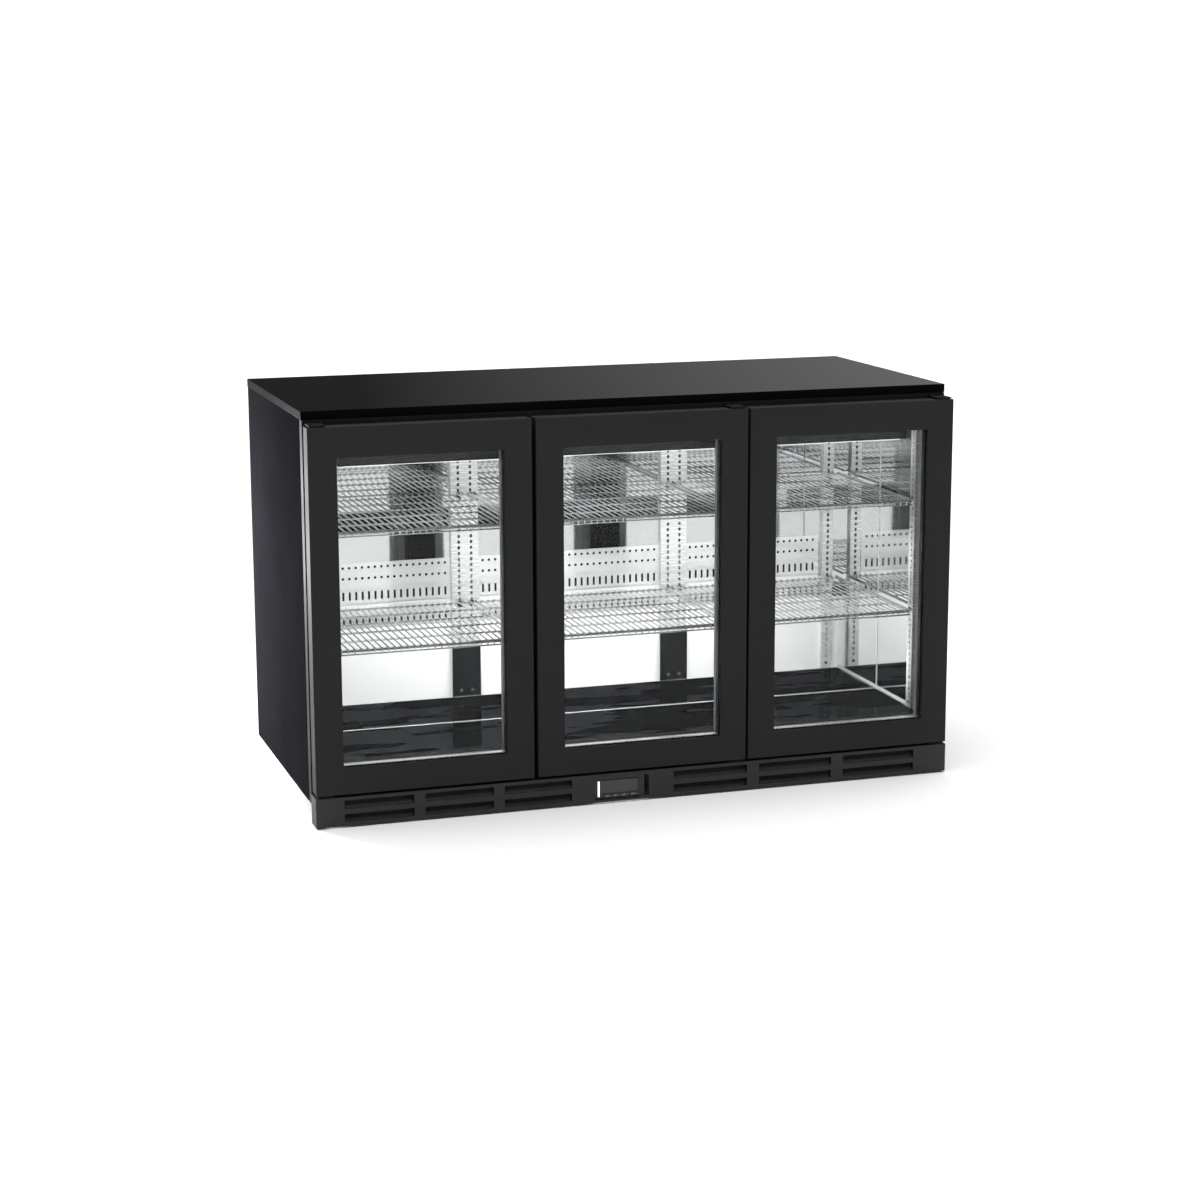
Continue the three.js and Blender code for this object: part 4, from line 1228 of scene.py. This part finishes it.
def make_compressor():
    """Compressor: a pressed oval shell with its weld flange, plate, rubber feet and terminal box."""
    x, y, z = span("compressor")
    centre = Vector((sum(x) / 2 - 2 * MM, sum(y) / 2, z[0] + 9 * MM))
    bm = bmesh.new()
    shell = [(0, 0), (28, 0), (36, 4), (40.5, 12), (41.5, 22), (41.5, 58), (42, 59), (42, 63)]
    shell += [(41.5, 64), (41.5, 92), (39, 106), (32, 119), (20, 128), (0, 131.5)]
    stretch = Matrix.Translation(centre) @ Matrix.Diagonal((1.54, 1, 1, 1))
    add_turned(bm, [(r * MM, h * MM) for r, h in shell], stretch, 48)
    finish_piece(bm, "compressor_shell", MATERIAL["machine"], slot="machine_black", replaces=["compressor"])
    middle_x, middle_y = (centre.x, centre.x), (centre.y, centre.y)
    box_piece("compressor_plate", grown(middle_x, 78 * MM), grown(middle_y, 41 * MM),
              (z[0] + 0.2 * MM, z[0] + 3.5 * MM), "zinc", 1 * MM, slot="zinc_plate")
    bm = bmesh.new()
    grommet = [(0, -5), (8, -5), (9, -3), (7, 0), (9, 3), (8, 5), (0, 5)]
    for side_x in (-64, 64):
        for side_y in (-30, 30):
            spot = centre + Vector((side_x * MM, side_y * MM, 0))
            add_lathe(bm, [(r * MM, h * MM) for r, h in grommet], spot, segments=20)
    finish_piece(bm, "compressor_grommets", MATERIAL["rubber"], slot="foot_rubber")
    box_piece("compressor_terminal", (x[1] - 24 * MM, x[1]), grown(middle_y, 16 * MM),
              (centre.z + 30 * MM, centre.z + 74 * MM), "black", 2.5 * MM, 3, slot="black_plastic")


def finish_cad_nodes():
    """Procedural finishes on the CAD nodes that stay in view."""
    for name, key in (("base_pan", "zinc"), ("foam_body", "foam")):
        node = frame["nodes"][name]
        node.data.materials.clear()
        node.data.materials.append(MATERIAL[key])


# ---- Studio ---------------------------------------------------------------------
def make_floor():
    """A wide white floor, just under the feet."""
    bm = bmesh.new()
    bmesh.ops.create_grid(bm, x_segments=8, y_segments=8, size=40)
    mesh = bpy.data.meshes.new("floor")
    bm.to_mesh(mesh)
    bm.free()
    shader = Shader("floor_white", (0.9, 0.9, 0.9), 0.8, specular=0.0)
    shader.drive("Base Color", shader.colours(shader.noise(0.8, 2.0), (0.89, 0.89, 0.89), (0.91, 0.91, 0.91)))
    mesh.materials.append(shader.material)
    floor = bpy.data.objects.new("floor", mesh)
    floor.location.z = -0.2 * MM
    bpy.context.scene.collection.objects.link(floor)


def make_world():
    """Studio surroundings by height: a white horizon, dark walls above it, and a bright ceiling."""
    world = bpy.data.worlds.new("studio")
    bpy.context.scene.world = world
    world.use_nodes = True
    tree = world.node_tree
    background = tree.nodes["Background"]
    split = tree.nodes.new("ShaderNodeSeparateXYZ")
    tree.links.new(tree.nodes.new("ShaderNodeTexCoord").outputs["Generated"], split.inputs["Vector"])

    def ramp(start, end, low, high):
        made = tree.nodes.new("ShaderNodeMapRange")
        made.interpolation_type = "SMOOTHSTEP"
        for socket, value in (("From Min", start), ("From Max", end), ("To Min", low), ("To Max", high)):
            made.inputs[socket].default_value = value
        tree.links.new(split.outputs["Z"], made.inputs["Value"])
        return made.outputs["Result"]

    level = tree.nodes.new("ShaderNodeMath")
    level.operation = "ADD"
    tree.links.new(ramp(0.19, 0.26, 1.02, 0.0), level.inputs[0])
    tree.links.new(ramp(0.6, 0.8, 0.022, 2.7), level.inputs[1])
    tree.links.new(level.outputs["Value"], background.inputs["Strength"])
    background.inputs["Color"].default_value = (1, 1, 1, 1)


def add_area_light(name, shape, size, power, location, facing):
    """An area light that the camera doesn't see."""
    data = bpy.data.lights.new(name, "AREA")
    data.shape = shape
    data.size, data.size_y = size
    data.energy = power
    light = bpy.data.objects.new(name, data)
    light.location = location
    light.rotation_euler = facing.to_track_quat("-Z", "Z").to_euler()
    light.visible_camera = False
    bpy.context.scene.collection.objects.link(light)
    return light


def add_fill(name, height, power):
    """A soft strip inside the cabinet, behind the doors, that lights the diffuse surfaces, such as the satin
    back; glossy and transmitted rays don't see it.
    """
    spot = (0, span("front_frame")[1][1] + 12 * MM, height)
    light = add_area_light(name, "RECTANGLE", (1.2, 0.05), power, spot, Vector((0, 1, 0)))
    light.visible_glossy = False
    light.visible_transmission = False


def add_flag():
    """A dim card at the right rear, paler to its right, that the worktop mirrors."""
    low, high = Vector((-1.5, 12.0, 1.0)), Vector((11.0, 9.5, 4.6))
    corners = ((*low.xy, low.z), (*high.xy, low.z), (*high.xy, high.z), (*low.xy, high.z))
    mesh = bpy.data.meshes.new("flag")
    mesh.from_pydata(corners, [], [(0, 1, 2, 3)])
    shader = Shader("flag_card", (0, 0, 0), 1.0, specular=0.0)
    split = shader.node("ShaderNodeSeparateXYZ")
    shader.link(shader.position(), split.inputs["Vector"])
    share = shader.ramp(split.outputs["X"], 0.0, 1.0, 2.0, 7.0)
    glow = shader.colours(share, (0.03, 0.03, 0.03), (0.34, 0.34, 0.34), 0.0, 1.0)
    shader.drive("Emission Color", glow)
    shader.set("Emission Strength", 1.0)
    mesh.materials.append(shader.material)
    card = bpy.data.objects.new("flag", mesh)
    card.visible_camera = False
    card.visible_diffuse = False
    card.visible_shadow = False
    bpy.context.scene.collection.objects.link(card)


def add_side_light():
    """A soft box at the left rear, so the left side falls off towards the doors."""
    spot, target = Vector((-1.1, 0.5, 0.45)), Vector((-0.675, 0.3, 0.42))
    add_area_light("side_light", "SQUARE", (0.35, 0.35), 13.0, spot, target - spot)


def make_studio():
    make_floor()
    make_world()
    add_fill("fill_low", 205 * MM, 4.6)
    add_fill("fill_middle", 440 * MM, 2.8)
    add_fill("fill_top", 680 * MM, 1.6)
    add_side_light()
    add_flag()
    scene = bpy.context.scene
    scene.view_settings.view_transform = "Standard"
    scene.view_settings.look = "None"


make_worktop()
make_side_panels()
make_back()
make_front_frame()
make_plinth()
make_controller()
make_feet()
for door_name in DOORS:
    make_door(door_name)
make_hinges()
make_liner()
make_air_cover()
make_posts()
make_wire_shelves()
make_clips()
make_base_covers()
make_light()
make_fan("evaporator_fan", "Y")
make_fan("condenser_fan", "X")
make_finned_block("evaporator")
make_finned_block("condenser")
make_compressor()
finish_cad_nodes()
make_studio()
